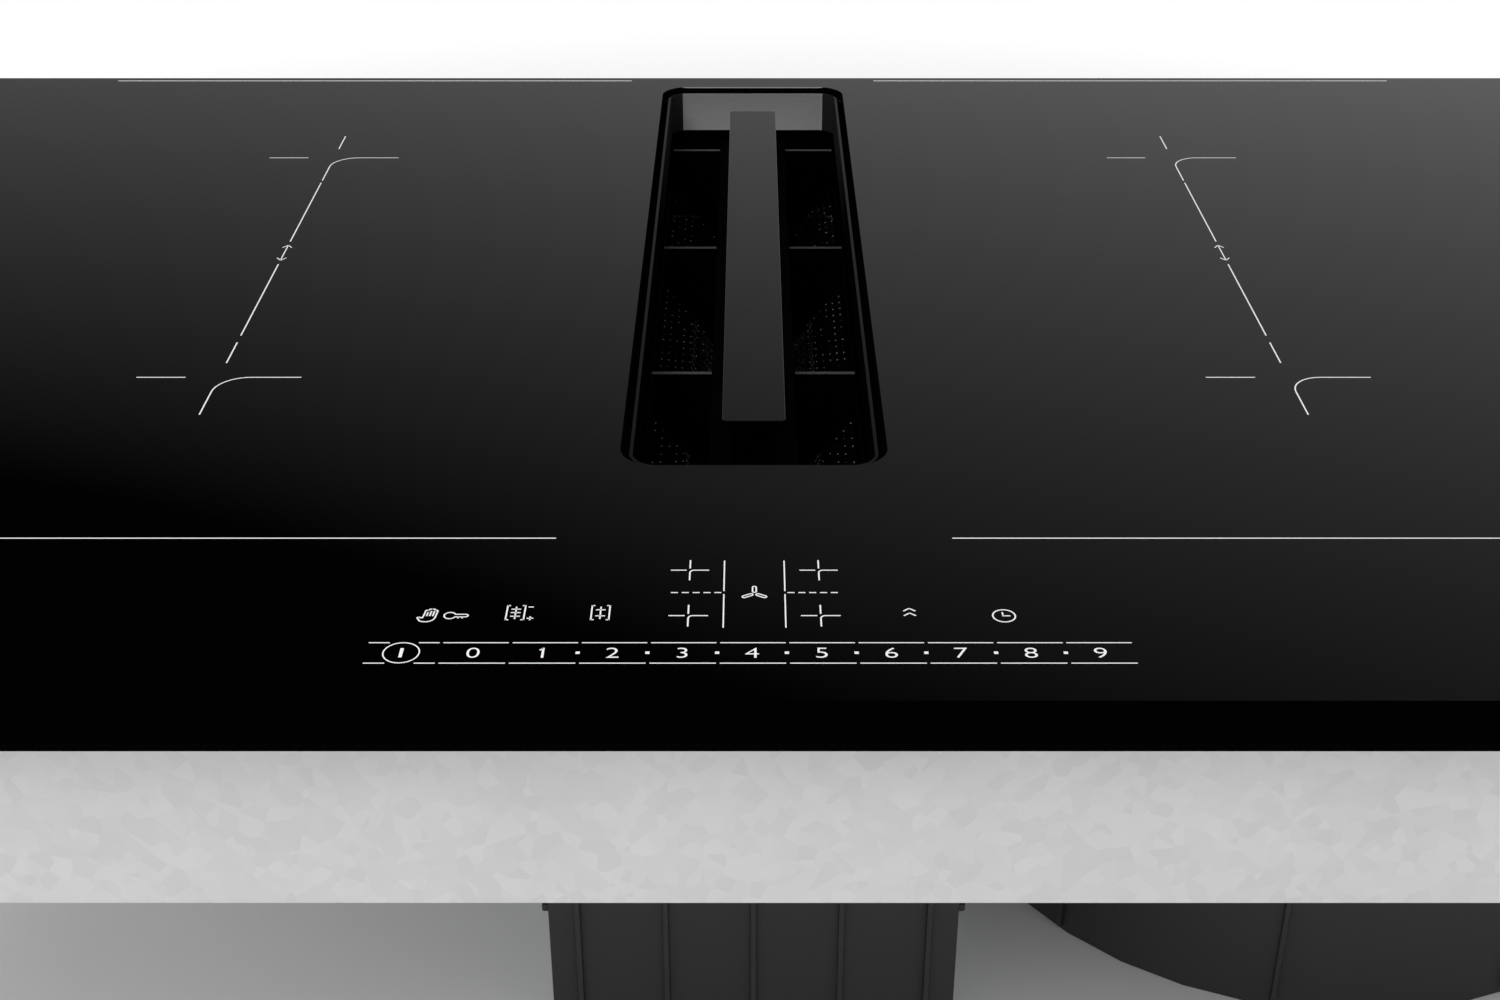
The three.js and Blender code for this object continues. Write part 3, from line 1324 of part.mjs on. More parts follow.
// Open at the back, where the cover closes it. Its side walls carry the ears of the hinge.
function terminalBox() {
  const shell = block(terminal, terminalBottom, terminalTop);
  const inner = grow(terminal, -TERMINAL_BOX_WALL);
  inner.yHigh = terminal.yHigh + CUT;
  const room = block(inner, terminalBottom + TERMINAL_BOX_WALL, terminalTop - TERMINAL_BOX_WALL);
  const earRange = [terminal.yHigh - CUT, coverAxisY + TERMINAL_EAR / 2];
  const ears = [
    rectangle(terminal.xLow, terminal.xLow + TERMINAL_BOX_WALL, ...earRange),
    rectangle(terminal.xHigh - TERMINAL_BOX_WALL, terminal.xHigh, ...earRange),
  ].map((r) => block(r, coverAxisZ - TERMINAL_EAR / 2, terminalTop));
  const pinHole = pin(
    terminal.xLow - CUT,
    terminal.xHigh + CUT,
    coverAxisY,
    coverAxisZ,
    COVER_PIN_RADIUS + RUN_GAP,
  );
  const glandHole = pin(
    terminal.xLow - CUT,
    terminal.xLow + TERMINAL_BOX_WALL + CUT,
    glandY,
    glandZ,
    GLAND_BORE_RADIUS,
  );
  return cut(join([shell.subtract(room), ...ears]), [pinHole, glandHole]);
}

function terminalCover() {
  const xLow = terminal.xLow + TERMINAL_BOX_WALL + RUN_GAP;
  const xHigh = terminal.xHigh - TERMINAL_BOX_WALL - RUN_GAP;
  const plate = block(
    rectangle(xLow, xHigh, terminal.yHigh + FIT_GAP, terminal.yHigh + FIT_GAP + COVER_THICKNESS),
    terminalBottom,
    coverAxisZ,
  );
  const barrel = pin(xLow, xHigh, coverAxisY, coverAxisZ, COVER_PIN_RADIUS + COVER_THICKNESS / 2);
  const axle = pin(terminal.xLow, terminal.xHigh, coverAxisY, coverAxisZ, COVER_PIN_RADIUS);
  return join([plate, barrel, axle]);
}

// A block on the floor of the box, with a pocket for each conductor.
function terminalBlock() {
  const [width, depth, height] = TERMINAL_BLOCK_SIZE;
  const x = (terminal.xLow + terminal.xHigh) / 2;
  const bottom = terminalBottom + TERMINAL_BOX_WALL + FIT_GAP;
  const body = centred(x, glandY, width, depth);
  const pitch = width / TERMINAL_POLE_COUNT;
  const pockets = [];
  for (let i = 0; i < TERMINAL_POLE_COUNT; i += 1) {
    const poleX = body.xLow + (i + 1 / 2) * pitch;
    pockets.push(
      block(
        rectangle(
          poleX - TERMINAL_POCKET_WIDTH / 2,
          poleX + TERMINAL_POCKET_WIDTH / 2,
          body.yHigh - TERMINAL_POCKET_DEPTH,
          body.yHigh + CUT,
        ),
        bottom + height - TERMINAL_POCKET_HEIGHT,
        bottom + height + CUT,
      ),
    );
  }
  return cut(block(body, bottom, bottom + height), pockets);
}

// A nut with a bore for the mains cable.
function cableGland() {
  const xHigh = terminal.xLow - FIT_GAP;
  const xLow = xHigh - GLAND_LENGTH;
  const nut = pin(xLow, xHigh, glandY, glandZ, GLAND_RADIUS);
  return nut.subtract(pin(xLow - CUT, xHigh + CUT, glandY, glandZ, GLAND_BORE_RADIUS));
}

// The box for the fan's electronics is screwed to the left wall of the plenum.
const [controlWidth, controlDepth, controlHeight] = CONTROL_BOX_SIZE;
const controlX = plenum.xLow - FIT_GAP - controlWidth / 2;
const control = centred(controlX, FAN_CENTRE_Y, controlWidth, controlDepth);
const controlTop = plenumTop - CONTROL_BOX_DROP;
const controlBottom = controlTop - controlHeight;

function motorControlBox() {
  const shell = slab(control, CONTROL_BOX_WALL, controlBottom, controlTop);
  const room = grow(control, -CONTROL_BOX_WALL);
  return shell.subtract(block(room, controlBottom - CUT, controlTop - CONTROL_BOX_WALL));
}

// The lid closes the box from below, with a rim that reaches into it.
function motorControlLid() {
  const top = controlBottom - FIT_GAP;
  const rim = grow(control, -CONTROL_BOX_WALL - RUN_GAP);
  const plate = slab(control, CONTROL_BOX_WALL, top - CONTROL_BOX_WALL, top);
  return plate
    .add(block(rim, top - CONTROL_BOX_WALL, top + CONTROL_LID_REACH))
    .subtract(block(grow(rim, -CONTROL_BOX_WALL), top, top + CONTROL_LID_REACH + CUT));
}

// A bent strip that bulges out between its two ends.
function retainingSpring(side) {
  const x = side * (tray.xHigh + FIT_GAP);
  const bulge = x + side * SPRING_BULGE;
  const thickness = side * SPRING_THICKNESS;
  const top = -SPRING_THICKNESS;
  const bottom = top - SPRING_HEIGHT;
  const section = [
    [x, top],
    [x, top - SPRING_FOOT],
    [bulge, (top + bottom) / 2],
    [x, bottom + SPRING_FOOT],
    [x, bottom],
    [x + thickness, bottom],
    [x + thickness, bottom + SPRING_FOOT],
    [bulge + thickness, (top + bottom) / 2],
    [x + thickness, top - SPRING_FOOT],
    [x + thickness, top],
  ];
  return beamAlongY(section, -SPRING_WIDTH / 2, SPRING_WIDTH / 2);
}

addPiece("terminal_box", terminalBox(), GREY_PLASTIC);
addPiece("terminal_cover", terminalCover(), GREY_PLASTIC);
addPiece("terminal_block", terminalBlock(), TANK_GREY);
addPiece("cable_gland", cableGland(), BLACK_PLASTIC);
addPiece("motor_control_box", motorControlBox(), BLACK_PLASTIC);
addPiece("motor_control_lid", motorControlLid(), BLACK_PLASTIC);
for (const [side, sideName] of SIDES) {
  addPiece(`retaining_spring_${sideName}`, retainingSpring(side), STEEL);
}

export default cooktop;
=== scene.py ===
"""Looks of a downdraft induction cooktop: black glass with printed controls, an air intake with a lift-out
filter through its middle, and below it a galvanised tray, a moulded plenum, a radial fan and its outlet.
Metres, +Z up, +X to the right of someone at the front, and the front is at -Y.
"""

import math
from typing import NamedTuple

import bmesh
import bpy
from mathutils import Matrix, Vector
from mathutils.bvhtree import BVHTree


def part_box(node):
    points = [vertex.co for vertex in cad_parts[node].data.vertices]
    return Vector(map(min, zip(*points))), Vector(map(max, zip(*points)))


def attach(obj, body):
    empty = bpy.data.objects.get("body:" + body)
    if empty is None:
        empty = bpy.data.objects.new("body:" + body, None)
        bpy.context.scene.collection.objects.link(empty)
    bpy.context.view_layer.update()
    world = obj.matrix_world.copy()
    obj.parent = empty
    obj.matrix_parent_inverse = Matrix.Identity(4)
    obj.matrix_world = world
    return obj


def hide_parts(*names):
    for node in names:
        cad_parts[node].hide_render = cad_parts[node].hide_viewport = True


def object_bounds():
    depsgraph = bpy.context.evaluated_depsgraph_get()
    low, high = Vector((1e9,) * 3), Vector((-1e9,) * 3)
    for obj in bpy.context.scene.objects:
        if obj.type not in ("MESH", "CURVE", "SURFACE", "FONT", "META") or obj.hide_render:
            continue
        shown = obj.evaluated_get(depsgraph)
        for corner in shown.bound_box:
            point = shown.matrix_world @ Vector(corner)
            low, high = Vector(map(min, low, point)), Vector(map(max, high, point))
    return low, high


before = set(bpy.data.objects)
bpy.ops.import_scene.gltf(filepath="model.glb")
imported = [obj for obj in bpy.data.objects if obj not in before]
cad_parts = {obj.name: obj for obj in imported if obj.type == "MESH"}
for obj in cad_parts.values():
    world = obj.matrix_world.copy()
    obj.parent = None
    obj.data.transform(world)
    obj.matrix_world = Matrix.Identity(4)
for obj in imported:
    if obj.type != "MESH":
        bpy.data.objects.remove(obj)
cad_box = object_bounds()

MM = 0.001
UP = (0, 0, 1)
DOWN = (0, 0, -1)
BACK = (0, 1, 0)
LEFT = (-1, 0, 0)

# Camera of the photograph.
FRAME_WIDTH = 1500
FOCAL_PIXELS = 2014
SENSOR_WIDTH = 36
CAMERA_PLACE = (-1.2 * MM, -659.1 * MM, 295.5 * MM)
CAMERA_PITCH = 29.36

# The studio. Metal and glass see a white horizon that fades to black above, and a diffuse surface is
# lit from all round at a plain level.
HORIZON = (1.047, -2.715, 1.948, -0.704)  # a cubic in the height of the ray
SIDE_GLOW = 0.2
SIDE_STEEPNESS = 2.4
SIDE_SHIFT = 0.25
SIDE_MIDDLE = 0.107
PLAIN_LEVEL = 0.6
KEY_POWER = 18
KEY_SIZE = 1.2
KEY_PLACE = (-0.7, -0.9, 1.6)
KEY_AIM = (0, 0, -0.1)
FLOOR_SIZE = 8
FLOOR_COLOR = 0.86
FLOOR_FADE = (0.55, 1.1)  # how far out the paint begins to turn white, and is white

# Mesh making.
WELD = 0.005 * MM
CORNER_STEPS = 10
FLAT_ANGLE = math.radians(1)
SHARP_ANGLE = math.radians(32)
ROUND_OVER = 0.4 * MM
SCREW_RADIUS = 3.2 * MM
SMALL_SCREW = 2.4 * MM
SCROLL_SCREW = 2.6 * MM
DUCT_SCREW = 1.9 * MM
MOTOR_SCREW = 2 * MM

# Glass, the frame in its cut-out, and the handle.
GLASS_CORNER = 4 * MM
GLASS_ARRIS = 0.4 * MM
FACET_DEPTH = 16 * MM
FACET_DROP = 2 * MM
FACET_ANGLE = math.radians(5)
CUTOUT_CORNER = 11 * MM
CUTOUT_BEVEL = 0.4 * MM
LIP_CLEARANCE = 0.4 * MM
RIM_WALL = 1.3 * MM
RIM_GAP = 2.2 * MM
RIM_DROP = 0.9 * MM
RIM_ARRIS = 0.12 * MM
RIM_ANGLE = math.radians(30)
FLANGE_LEVELS = (-1.6 * MM, -0.4 * MM)
BARE_HALF_WIDTH = 33.5 * MM
HANDLE_CORNER = 1.5 * MM
HANDLE_ARRIS = 0.18 * MM
HANDLE_ANGLE = math.radians(50)

# Filter.
CELL_LENGTH = 6 * MM
CELL_WIDTH = 4 * MM
STRAND = 0.7 * MM
STRAND_WAVE = 0.35 * MM
MESH_DROP = 0.6 * MM
KNOT_RADIUS = 0.34 * MM
KNOT_HEIGHT = 0.3 * MM
KNOT_INSET = 1.2 * MM
KNOT_RISE = 0.05 * MM
RIB_PITCH = 118.2 * MM
RIB_THICKNESS = 2 * MM
RIB_TOP = -20 * MM
STRIP_THICKNESS = 0.15 * MM
STRIP_INSET = 0.4 * MM
STRIP_CORNER = 0.3 * MM
SPINE_HALF_WIDTH = 14.6 * MM

# Print on the glass. The places and lengths of printed lines are in millimetres.
PRINT_HEIGHT = 0.05 * MM
BACK_LINE = 0.68
FRONT_LINE = 0.46
ZONE_LINE = 0.47
ICON_LINE = 0.37
FINE_LINE = 0.42
TURN_STEP = 9
ZONE_X = 176.4
ZONE_ROWS = (151.4, -60.2)
BORDER_ROWS = ((256.4, BACK_LINE), (-164.9, FRONT_LINE))
BORDER_ENDS = (56.4, 296.1)
LINK_LINES = ((121.6, 63.4), (35.9, 63.2))  # upper end and length
LINK_ARROW = (54.5, 14.9)
BAR_X = 8.3
BAR_LINES = ((-177.3, 16.0), (-194.9, 16.7))
MINI_CROSS = ((17.8, -182.4), (17.7, -205.7))
DASH_ROW = -194.1
DASH_START = 9.0
DASH_LENGTH = 1.9
DASH_PITCH = 2.95
DASH_COUNT = 5
FAN_ICON = (0.0, -194.6)
ICON_ROW = -204.3
HAND_X = -86.9
KEY_X = -80.4
ZONES_X = (-63.9, -41.2)
CHEVRON_X = 41.5
CHEVRON_ROWS = (-203.4, -205.7)
CLOCK_X = 66.6
CLOCK_RADIUS = 3.0
SLIDER_ROWS = (-218.8, -228.3)
SLIDER_START = -81.3
SLIDER_PITCH = 18.08
SLIDER_LINE = 17.1
SLIDER_CELLS = 10
POWER_PLACE = (-91.65, -223.5)
POWER_RADIUS = 4.7
POWER_BAR = 0.9
POWER_LINES = ((-100.8, 5.5), (-87.7, 5.4))
DIGIT_START = -73.0
DIGIT_HEIGHT = 4.6
DIGIT_STRETCH = 1.18
FLAG_LENGTH = 1.3  # the upstroke of the digit 1
DIGIT_THINNING = -0.01  # in the units of the font, as the next value is
DIGIT_WELD = 0.008
DOT_SIZE = 1.1
INK_WELD = 0.001

# Tray. Both ends and the front of each bead, the bead's width and the places of screws are in millimetres.
BEADS = (
    (-345, -140, -208),
    (-270, -140, -120),
    (-345, -140, -6),
    (-345, -140, 60),
    (-240, -140, 126),
    (-240, -140, 200),
    (90, 345, -208),
    (90, 280, -150),
)
BEAD_WIDTH = 14
BEAD_ROUNDNESS = 0.98
BEAD_HEIGHT = 1.8 * MM
BEAD_ROOT = 0.1 * MM
BEAD_SLOPES = ((0, 0), (0.25, 0.3), (0.9, 0.85), (1.4, 1))  # inwards and downwards
TAB_LENGTH = 17 * MM
TAB_SHEET = 0.9 * MM
TAB_ROOT = 0.2 * MM
TAB_INSET = 1.2 * MM
TAB_EDGE = 0.3 * MM
TAB_ENDS = (1.5 * MM, 3 * MM)  # above the floor of the tray, and below its top
WELD_ENDS = (12 * MM, 14 * MM)  # likewise
WELD_DIMPLE = ((0, 0.25 * MM), (1.6 * MM, 0.2 * MM), (2.3 * MM, 0.5 * MM), (3 * MM, 0), (0, 0))
GUARD_RINGS = (6 * MM, 12 * MM, 19.5 * MM)
GUARD_WIRE = 0.8 * MM
GUARD_DROP = 0.2 * MM
SIDE_SCREWS = (-190, -95, 95)
BACK_SCREWS = (-300, -150, 150, 300)
BASE_SCREWS = (-340, -200, 200, 340)
SPRING_SCREWS = (-9, 9)
SCREW_ROW = 9 * MM
SPRING_ROW = 37 * MM
SPRING_SHEET = 0.9 * MM
BASE_SCREW_INSET = 10 * MM

# Mouldings. The places of ribs are in millimetres, and those round the scroll are in degrees.
WALL_RIB_WIDTH = 2 * MM
WALL_RIB_DEPTH = 2.4 * MM
WALL_RIB_ROOT = 0.6 * MM  # how far a rib reaches into its wall
WALL_RIB_EDGE = 0.5 * MM
LEDGE_ROOT = 0.3 * MM
LEDGE_EDGE = 0.6 * MM
LEDGE_INSET = 1 * MM
LEDGE_DEPTH = 2.2 * MM
LEDGE_HEIGHT = 3 * MM
PLENUM_END_RIBS = range(-60, 61, 30)
PLENUM_END_GAPS = (5 * MM, 4 * MM)  # above the floor of the plenum, and below its top
PLENUM_SIDE_RIBS = range(-110, 240, 34)
PLENUM_SIDE_GAP = 2 * MM
CHANNEL_RIBS = range(92, 262, 24)
CHANNEL_GAP = 3 * MM
TANK_SPLIT = -164 * MM
TANK_LONG_RIBS = (-34, 34)
TANK_CROSS_RIBS = (-60, 15, 90, 165)
TANK_RIB_INSETS = (10 * MM, 12 * MM)
TANK_RIB_LEVELS = (-2 * MM, 0.2 * MM)
GRIP_RIBS = range(-96, 230, 24)
GRIP_RIB_LEVELS = (5 * MM, 33 * MM)
GRIP_RIB_DEPTH = 1.6 * MM
GRIP_LEVELS = (34 * MM, 37 * MM)
GRIP_INSET = 14 * MM
GRIP_DEPTH = 2.6 * MM
DRAIN_INSET = 28 * MM
DRAIN_CAP = ((0, 3 * MM), (9 * MM, 3 * MM), (10 * MM, 2.2 * MM), (10 * MM, 0), (0, 0))
SCROLL_BOSSES = range(140, 351, 35)
SCROLL_FINS = (157, 192, 227, 262, 297, 332, 5)
BOSS_RADIUS = 4.5 * MM
BOSS_HEIGHT = 34 * MM
BOSS_TAPER = 26 * MM
FIN_DEPTH = 2 * MM
FIN_ENDS = (2 * MM, 0.5 * MM)  # above the floor of the scroll, and below its parting line
PROBE_DROP = 10 * MM  # below the parting line, where the wall is looked for
DUCT_RIBS = range(200, 321, 40)
DUCT_RIB_ENDS = (130 * MM, 243 * MM)
DUCT_RIB_LEVELS = (-2 * MM, 0.3 * MM)
DUCT_PROBE = 200 * MM
DUCT_SCREW_INSET = (12 * MM, 2.6 * MM)
RECESS = 1.2 * MM
RECESS_RIM = 6 * MM
BASE_RINGS = (47 * MM, 22 * MM)
BASE_RING_SIZE = (2 * MM, 1 * MM)
BASE_SPOKES = 8
SPOKE_MIDDLE = 68 * MM
SPOKE_DROP = 0.3 * MM
SPOKE_SIZE = (38 * MM, 2 * MM, 1.4 * MM)
MOTOR_SCREWS = 3
MOTOR_SCREW_CIRCLE = 34 * MM
LID_SCREW_INSET = 6 * MM
COVER_SCREW_INSET = 12 * MM
COVER_SCREW_ROW = 7 * MM
GLAND_BORE = 5 * MM
GLAND_NUT = 5 * MM
GLAND_CAP_START = 4.5 * MM
GLAND_CAP_STEPS = (4 * MM, 1.5 * MM)  # before its end
GLAND_GRIPS = 12
GLAND_GRIP_SHIFT = 0.5 * MM
GLAND_GRIP_SHORTER = 10 * MM
GLAND_GRIP_SIZE = 1 * MM
COVER_FACE = 240.2 * MM


class Rect(NamedTuple):
    """A rectangle in plan."""

    x0: float
    x1: float
    y0: float
    y1: float

    def grow(self, by):
        return Rect(self.x0 - by, self.x1 + by, self.y0 - by, self.y1 + by)


def plan(node):
    low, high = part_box(node)
    return Rect(low.x, high.x, low.y, high.y)


def top(node):
    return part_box(node)[1].z


def bottom(node):
    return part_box(node)[0].z


def axis_of(node):
    rect = plan(node)
    return Vector(((rect.x0 + rect.x1) / 2, (rect.y0 + rect.y1) / 2, 0))


def toward(angle):
    """The level direction at an angle."""
    return Vector((math.cos(angle), math.sin(angle), 0))


lip = plan("filter_frame")
rim_inner = lip.grow(LIP_CLEARANCE)
rim_outer = rim_inner.grow(RIM_WALL)
cutout = rim_outer.grow(RIM_GAP)
glass_top = top("glass_panel")
back_rib = plan("filter_mesh_right").y1 - RIB_THICKNESS / 2
middle_rib = back_rib - RIB_PITCH

# ---------------------------------------------------------------------------------------------
# Shader nodes.


def operator(operation, reflected=False):
    def method(self, other=0.0):
        pair = (other, self) if reflected else (self, other)
        return self.nodes.node("ShaderNodeMath", {"operation": operation}, dict(enumerate(pair)))

    return method


class Value:
    """The output of a shader node, which takes part in plain arithmetic."""

    def __init__(self, nodes, socket):
        self.nodes = nodes
        self.socket = socket

    __add__ = operator("ADD")
    __radd__ = operator("ADD", reflected=True)
    __sub__ = operator("SUBTRACT")
    __rsub__ = operator("SUBTRACT", reflected=True)
    __mul__ = operator("MULTIPLY")
    __rmul__ = operator("MULTIPLY", reflected=True)
    __pow__ = operator("POWER")
    __gt__ = operator("GREATER_THAN")
    __lt__ = operator("LESS_THAN")
    most = operator("MAXIMUM")
    size = operator("ABSOLUTE")
    sine = operator("SINE")
    tanh = operator("TANH")


class Nodes:
    """The shader nodes of a material or of the world."""

    def __init__(self, tree):
        self.tree = tree
        tree.nodes.clear()

    def node(self, kind, settings=None, inputs=None, output=0):
        made = self.tree.nodes.new(kind)
        for name, value in (settings or {}).items():
            setattr(made, name, value)
        for name, value in (inputs or {}).items():
            if isinstance(value, Value):
                self.tree.links.new(value.socket, made.inputs[name])
            else:
                made.inputs[name].default_value = value
        return Value(self, made.outputs[output]) if made.outputs else None

    def place(self):
        return self.node("ShaderNodeTexCoord", output="Object")

    def ray(self, kind):
        return self.node("ShaderNodeLightPath", output=f"Is {kind} Ray")

    def parts(self, vector):
        return [self.node("ShaderNodeSeparateXYZ", inputs={0: vector}, output=i) for i in range(3)]

    def scaled(self, x, y, z):
        return self.node("ShaderNodeMapping", inputs={"Vector": self.place(), "Scale": (x, y, z)})

    def noise(self, scale, detail=3.0, roughness=0.5, where=None):
        inputs = {"Vector": where or self.place(), "Scale": scale, "Detail": detail, "Roughness": roughness}
        return self.node("ShaderNodeTexNoise", inputs=inputs)

    def cells(self, scale, output="Distance"):
        inputs = {"Vector": self.place(), "Scale": scale}
        return self.node("ShaderNodeTexVoronoi", inputs=inputs, output=output)

    def spread(self, value, low, high, to_low=0.0, to_high=1.0):
        inputs = {"Value": value, "From Min": low, "From Max": high, "To Min": to_low, "To Max": to_high}
        return self.node("ShaderNodeMapRange", {"clamp": True}, inputs)

    def mix(self, amount, first, second):
        inputs = {0: amount, 6: first, 7: second}
        return self.node("ShaderNodeMix", {"data_type": "RGBA"}, inputs, output=2)

    def tone(self, value, low, high, first, second):
        """Goes from one colour to another as a value rises from low to high."""
        return self.mix(self.spread(value, low, high), first, second)

    def bump(self, height, strength, distance):
        inputs = {"Height": height, "Strength": strength, "Distance": distance}
        return self.node("ShaderNodeBump", inputs=inputs, output="Normal")

    def blend(self, amount, first, second):
        return self.node("ShaderNodeMixShader", inputs={0: amount, 1: first, 2: second})

    def surface(self, shader, kind="ShaderNodeOutputMaterial"):
        self.node(kind, inputs={"Surface": shader})


class Paint(Nodes):
    """The shader nodes of a new material."""

    def __init__(self, name):
        self.material = bpy.data.materials.new(name)
        self.material.use_nodes = True
        super().__init__(self.material.node_tree)

    def principled(self, **inputs):
        """Ends in a principled shader, and gives back the material."""
        named = {name.replace("_", " "): value for name, value in inputs.items()}
        self.surface(self.node("ShaderNodeBsdfPrincipled", inputs=named))
        return self.material


def rgb(red, green, blue):
    return (red, green, blue, 1.0)


def grey(level):
    return rgb(level, level, level)


def shade(color, by):
    return rgb(*(min(level * by, 1) for level in color[:3]))


# ---------------------------------------------------------------------------------------------
# Camera, light and floor.


def add(name, data):
    made = bpy.data.objects.new(name, data)
    bpy.context.scene.collection.objects.link(made)
    return made


def set_camera():
    data = bpy.data.cameras.new("photo_camera")
    data.sensor_width = SENSOR_WIDTH
    data.lens = SENSOR_WIDTH * FOCAL_PIXELS / FRAME_WIDTH
    data.clip_start = 10 * MM
    camera = add("photo_camera", data)
    camera.location = CAMERA_PLACE
    camera.rotation_euler = (math.radians(90 - CAMERA_PITCH), 0, 0)
    bpy.context.scene.camera = camera


def set_world():
    world = bpy.data.worlds.new("studio")
    world.use_nodes = True
    bpy.context.scene.world = world
    nodes = Nodes(world.node_tree)
    x, _, z = nodes.parts(nodes.node("ShaderNodeTexCoord", output="Generated"))
    height = z.most(0.0)
    constant, first, second, third = HORIZON
    fade = constant + height * (first + height * (second + height * third))
    side = ((x + SIDE_SHIFT) * SIDE_STEEPNESS).tanh() * SIDE_GLOW - SIDE_MIDDLE
    glow = (fade + side).most(0.0)
    glossy, seen = nodes.ray("Glossy"), nodes.ray("Camera")
    level = seen + glossy * glow + (1 - seen) * (1 - glossy) * PLAIN_LEVEL
    sky = nodes.node("ShaderNodeBackground", inputs={"Color": grey(1.0), "Strength": level})
    nodes.surface(sky, "ShaderNodeOutputWorld")


def add_key_light():
    data = bpy.data.lights.new("soft_key", "AREA")
    data.energy = KEY_POWER
    data.size = KEY_SIZE
    light = add("soft_key", data)
    light.location = KEY_PLACE
    light.rotation_euler = (Vector(KEY_AIM) - light.location).to_track_quat("-Z", "Y").to_euler()
    light.visible_glossy = False


def add_floor():
    bm = bmesh.new()
    bmesh.ops.create_grid(bm, x_segments=1, y_segments=1, size=FLOOR_SIZE / 2)
    bmesh.ops.translate(bm, verts=bm.verts, vec=(0, 0, cad_box[0].z))
    floor = finished(bm, "floor")
    nodes = Paint("floor_paint")
    x, y, _ = nodes.parts(nodes.place())
    far = nodes.spread((x * x + y * y) ** 0.5, *FLOOR_FADE)
    paint = nodes.node("ShaderNodeBsdfDiffuse", inputs={"Color": grey(FLOOR_COLOR)})
    white = nodes.node("ShaderNodeEmission", inputs={"Strength": 1.0})
    plain = nodes.node("ShaderNodeEmission", inputs={"Strength": PLAIN_LEVEL})
    clear = nodes.node("ShaderNodeBsdfTransparent")
    under = nodes.node("ShaderNodeNewGeometry", output="Backfacing")
    above = nodes.blend(nodes.ray("Diffuse"), nodes.blend(far, paint, white), plain)
    nodes.surface(nodes.blend(under, above, clear))
    floor.data.materials.append(nodes.material)


# ---------------------------------------------------------------------------------------------
# Meshes.


def finished(bm, name, sharp=SHARP_ANGLE):
    """The bmesh as an object in the scene, smooth but for its sharp edges."""
    bm.normal_update()
    mesh = bpy.data.meshes.new(name)
    bm.to_mesh(mesh)
    bm.free()
    mesh.shade_smooth()
    mesh.set_sharp_from_angle(angle=sharp)
    made = add(name, mesh)
    level = made.modifiers.new("even_normals", "WEIGHTED_NORMAL")
    level.keep_sharp = True
    return made


def piece(bm, name, body, finish, node=None, sharp=SHARP_ANGLE):
    """Makes a bmesh a piece that moves with a body. The finish is a slot name, which is not used, and its
    materials, and the node is the CAD piece that it stands for.
    """
    made = finished(bm, name, sharp)
    slot, *materials = finish
    for material in materials:
        made.data.materials.append(material)
    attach(made, body)
    if node:
        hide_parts(node)
    return made


def verts_of(items):
    return [item for item in items if isinstance(item, bmesh.types.BMVert)]


def edges_round(verts):
    return list({edge for vert in verts for edge in vert.link_edges})


def outline(bm, rect, radius, z, steps=CORNER_STEPS):
    """A loop of edges round a rectangle with round corners: a circle whose quarters are moved apart."""
    half_step = math.pi / (4 * steps)
    size = radius / math.cos(half_step)
    turn = Matrix.Rotation(half_step, 4, "Z")
    verts = bmesh.ops.create_circle(bm, segments=4 * steps, radius=size, matrix=turn)["verts"]
    reach_x = (rect.x1 - rect.x0) / 2 - radius
    reach_y = (rect.y1 - rect.y0) / 2 - radius
    for vert in verts:
        vert.co.x += math.copysign(reach_x, vert.co.x) + (rect.x0 + rect.x1) / 2
        vert.co.y += math.copysign(reach_y, vert.co.y) + (rect.y0 + rect.y1) / 2
        vert.co.z = z
    return edges_round(verts)


def reshape(verts, before, after):
    """Moves the points of one outline to where they lie on another one."""
    for vert in verts:
        for axis in (0, 1):
            low, high = before[0][2 * axis : 2 * axis + 2]
            side = math.copysign(1, vert.co[axis] - (low + high) / 2)
            arc = vert.co[axis] - (high - before[1] if side > 0 else low + before[1])
            low, high = after[0][2 * axis : 2 * axis + 2]
            centre = high - after[1] if side > 0 else low + after[1]
            vert.co[axis] = centre + arc * after[1] / before[1]
        vert.co.z = after[2]


def loft(bm, stations, steps=CORNER_STEPS, closed=False):
    """A wall through outlines given as (rectangle, corner radius, height), capped unless it is closed."""
    first = outline(bm, *stations[0], steps)
    edges = first
    following = stations[1:] + stations[:1] if closed else stations[1:]
    for before, after in zip(stations, following):
        made = bmesh.ops.extrude_edge_only(bm, edges=edges)["geom"]
        ring = set(verts_of(made))
        lines = [item for item in made if isinstance(item, bmesh.types.BMEdge)]
        edges = [edge for edge in lines if ring.issuperset(edge.verts)]
        reshape(ring, before, after)
    if closed:
        bmesh.ops.remove_doubles(bm, verts=bm.verts, dist=WELD)
    else:
        bmesh.ops.contextual_create(bm, geom=first)
        bmesh.ops.contextual_create(bm, geom=edges)
    bmesh.ops.recalc_face_normals(bm, faces=bm.faces)


def arris(rect, radius, z0, z1, ease):
    """The stations of a block whose upper and lower edges are rounded over."""
    middle = ease * (1 - math.sqrt(0.5))
    narrow = (rect.grow(-ease), max(radius - ease, ease / 4))
    rounded = (rect.grow(-middle), max(radius - middle, ease / 3))
    wide = (rect, radius)
    lower = [(*narrow, z0), (*rounded, z0 + middle), (*wide, z0 + ease)]
    return lower + [(*wide, z1 - ease), (*rounded, z1 - middle), (*narrow, z1)]


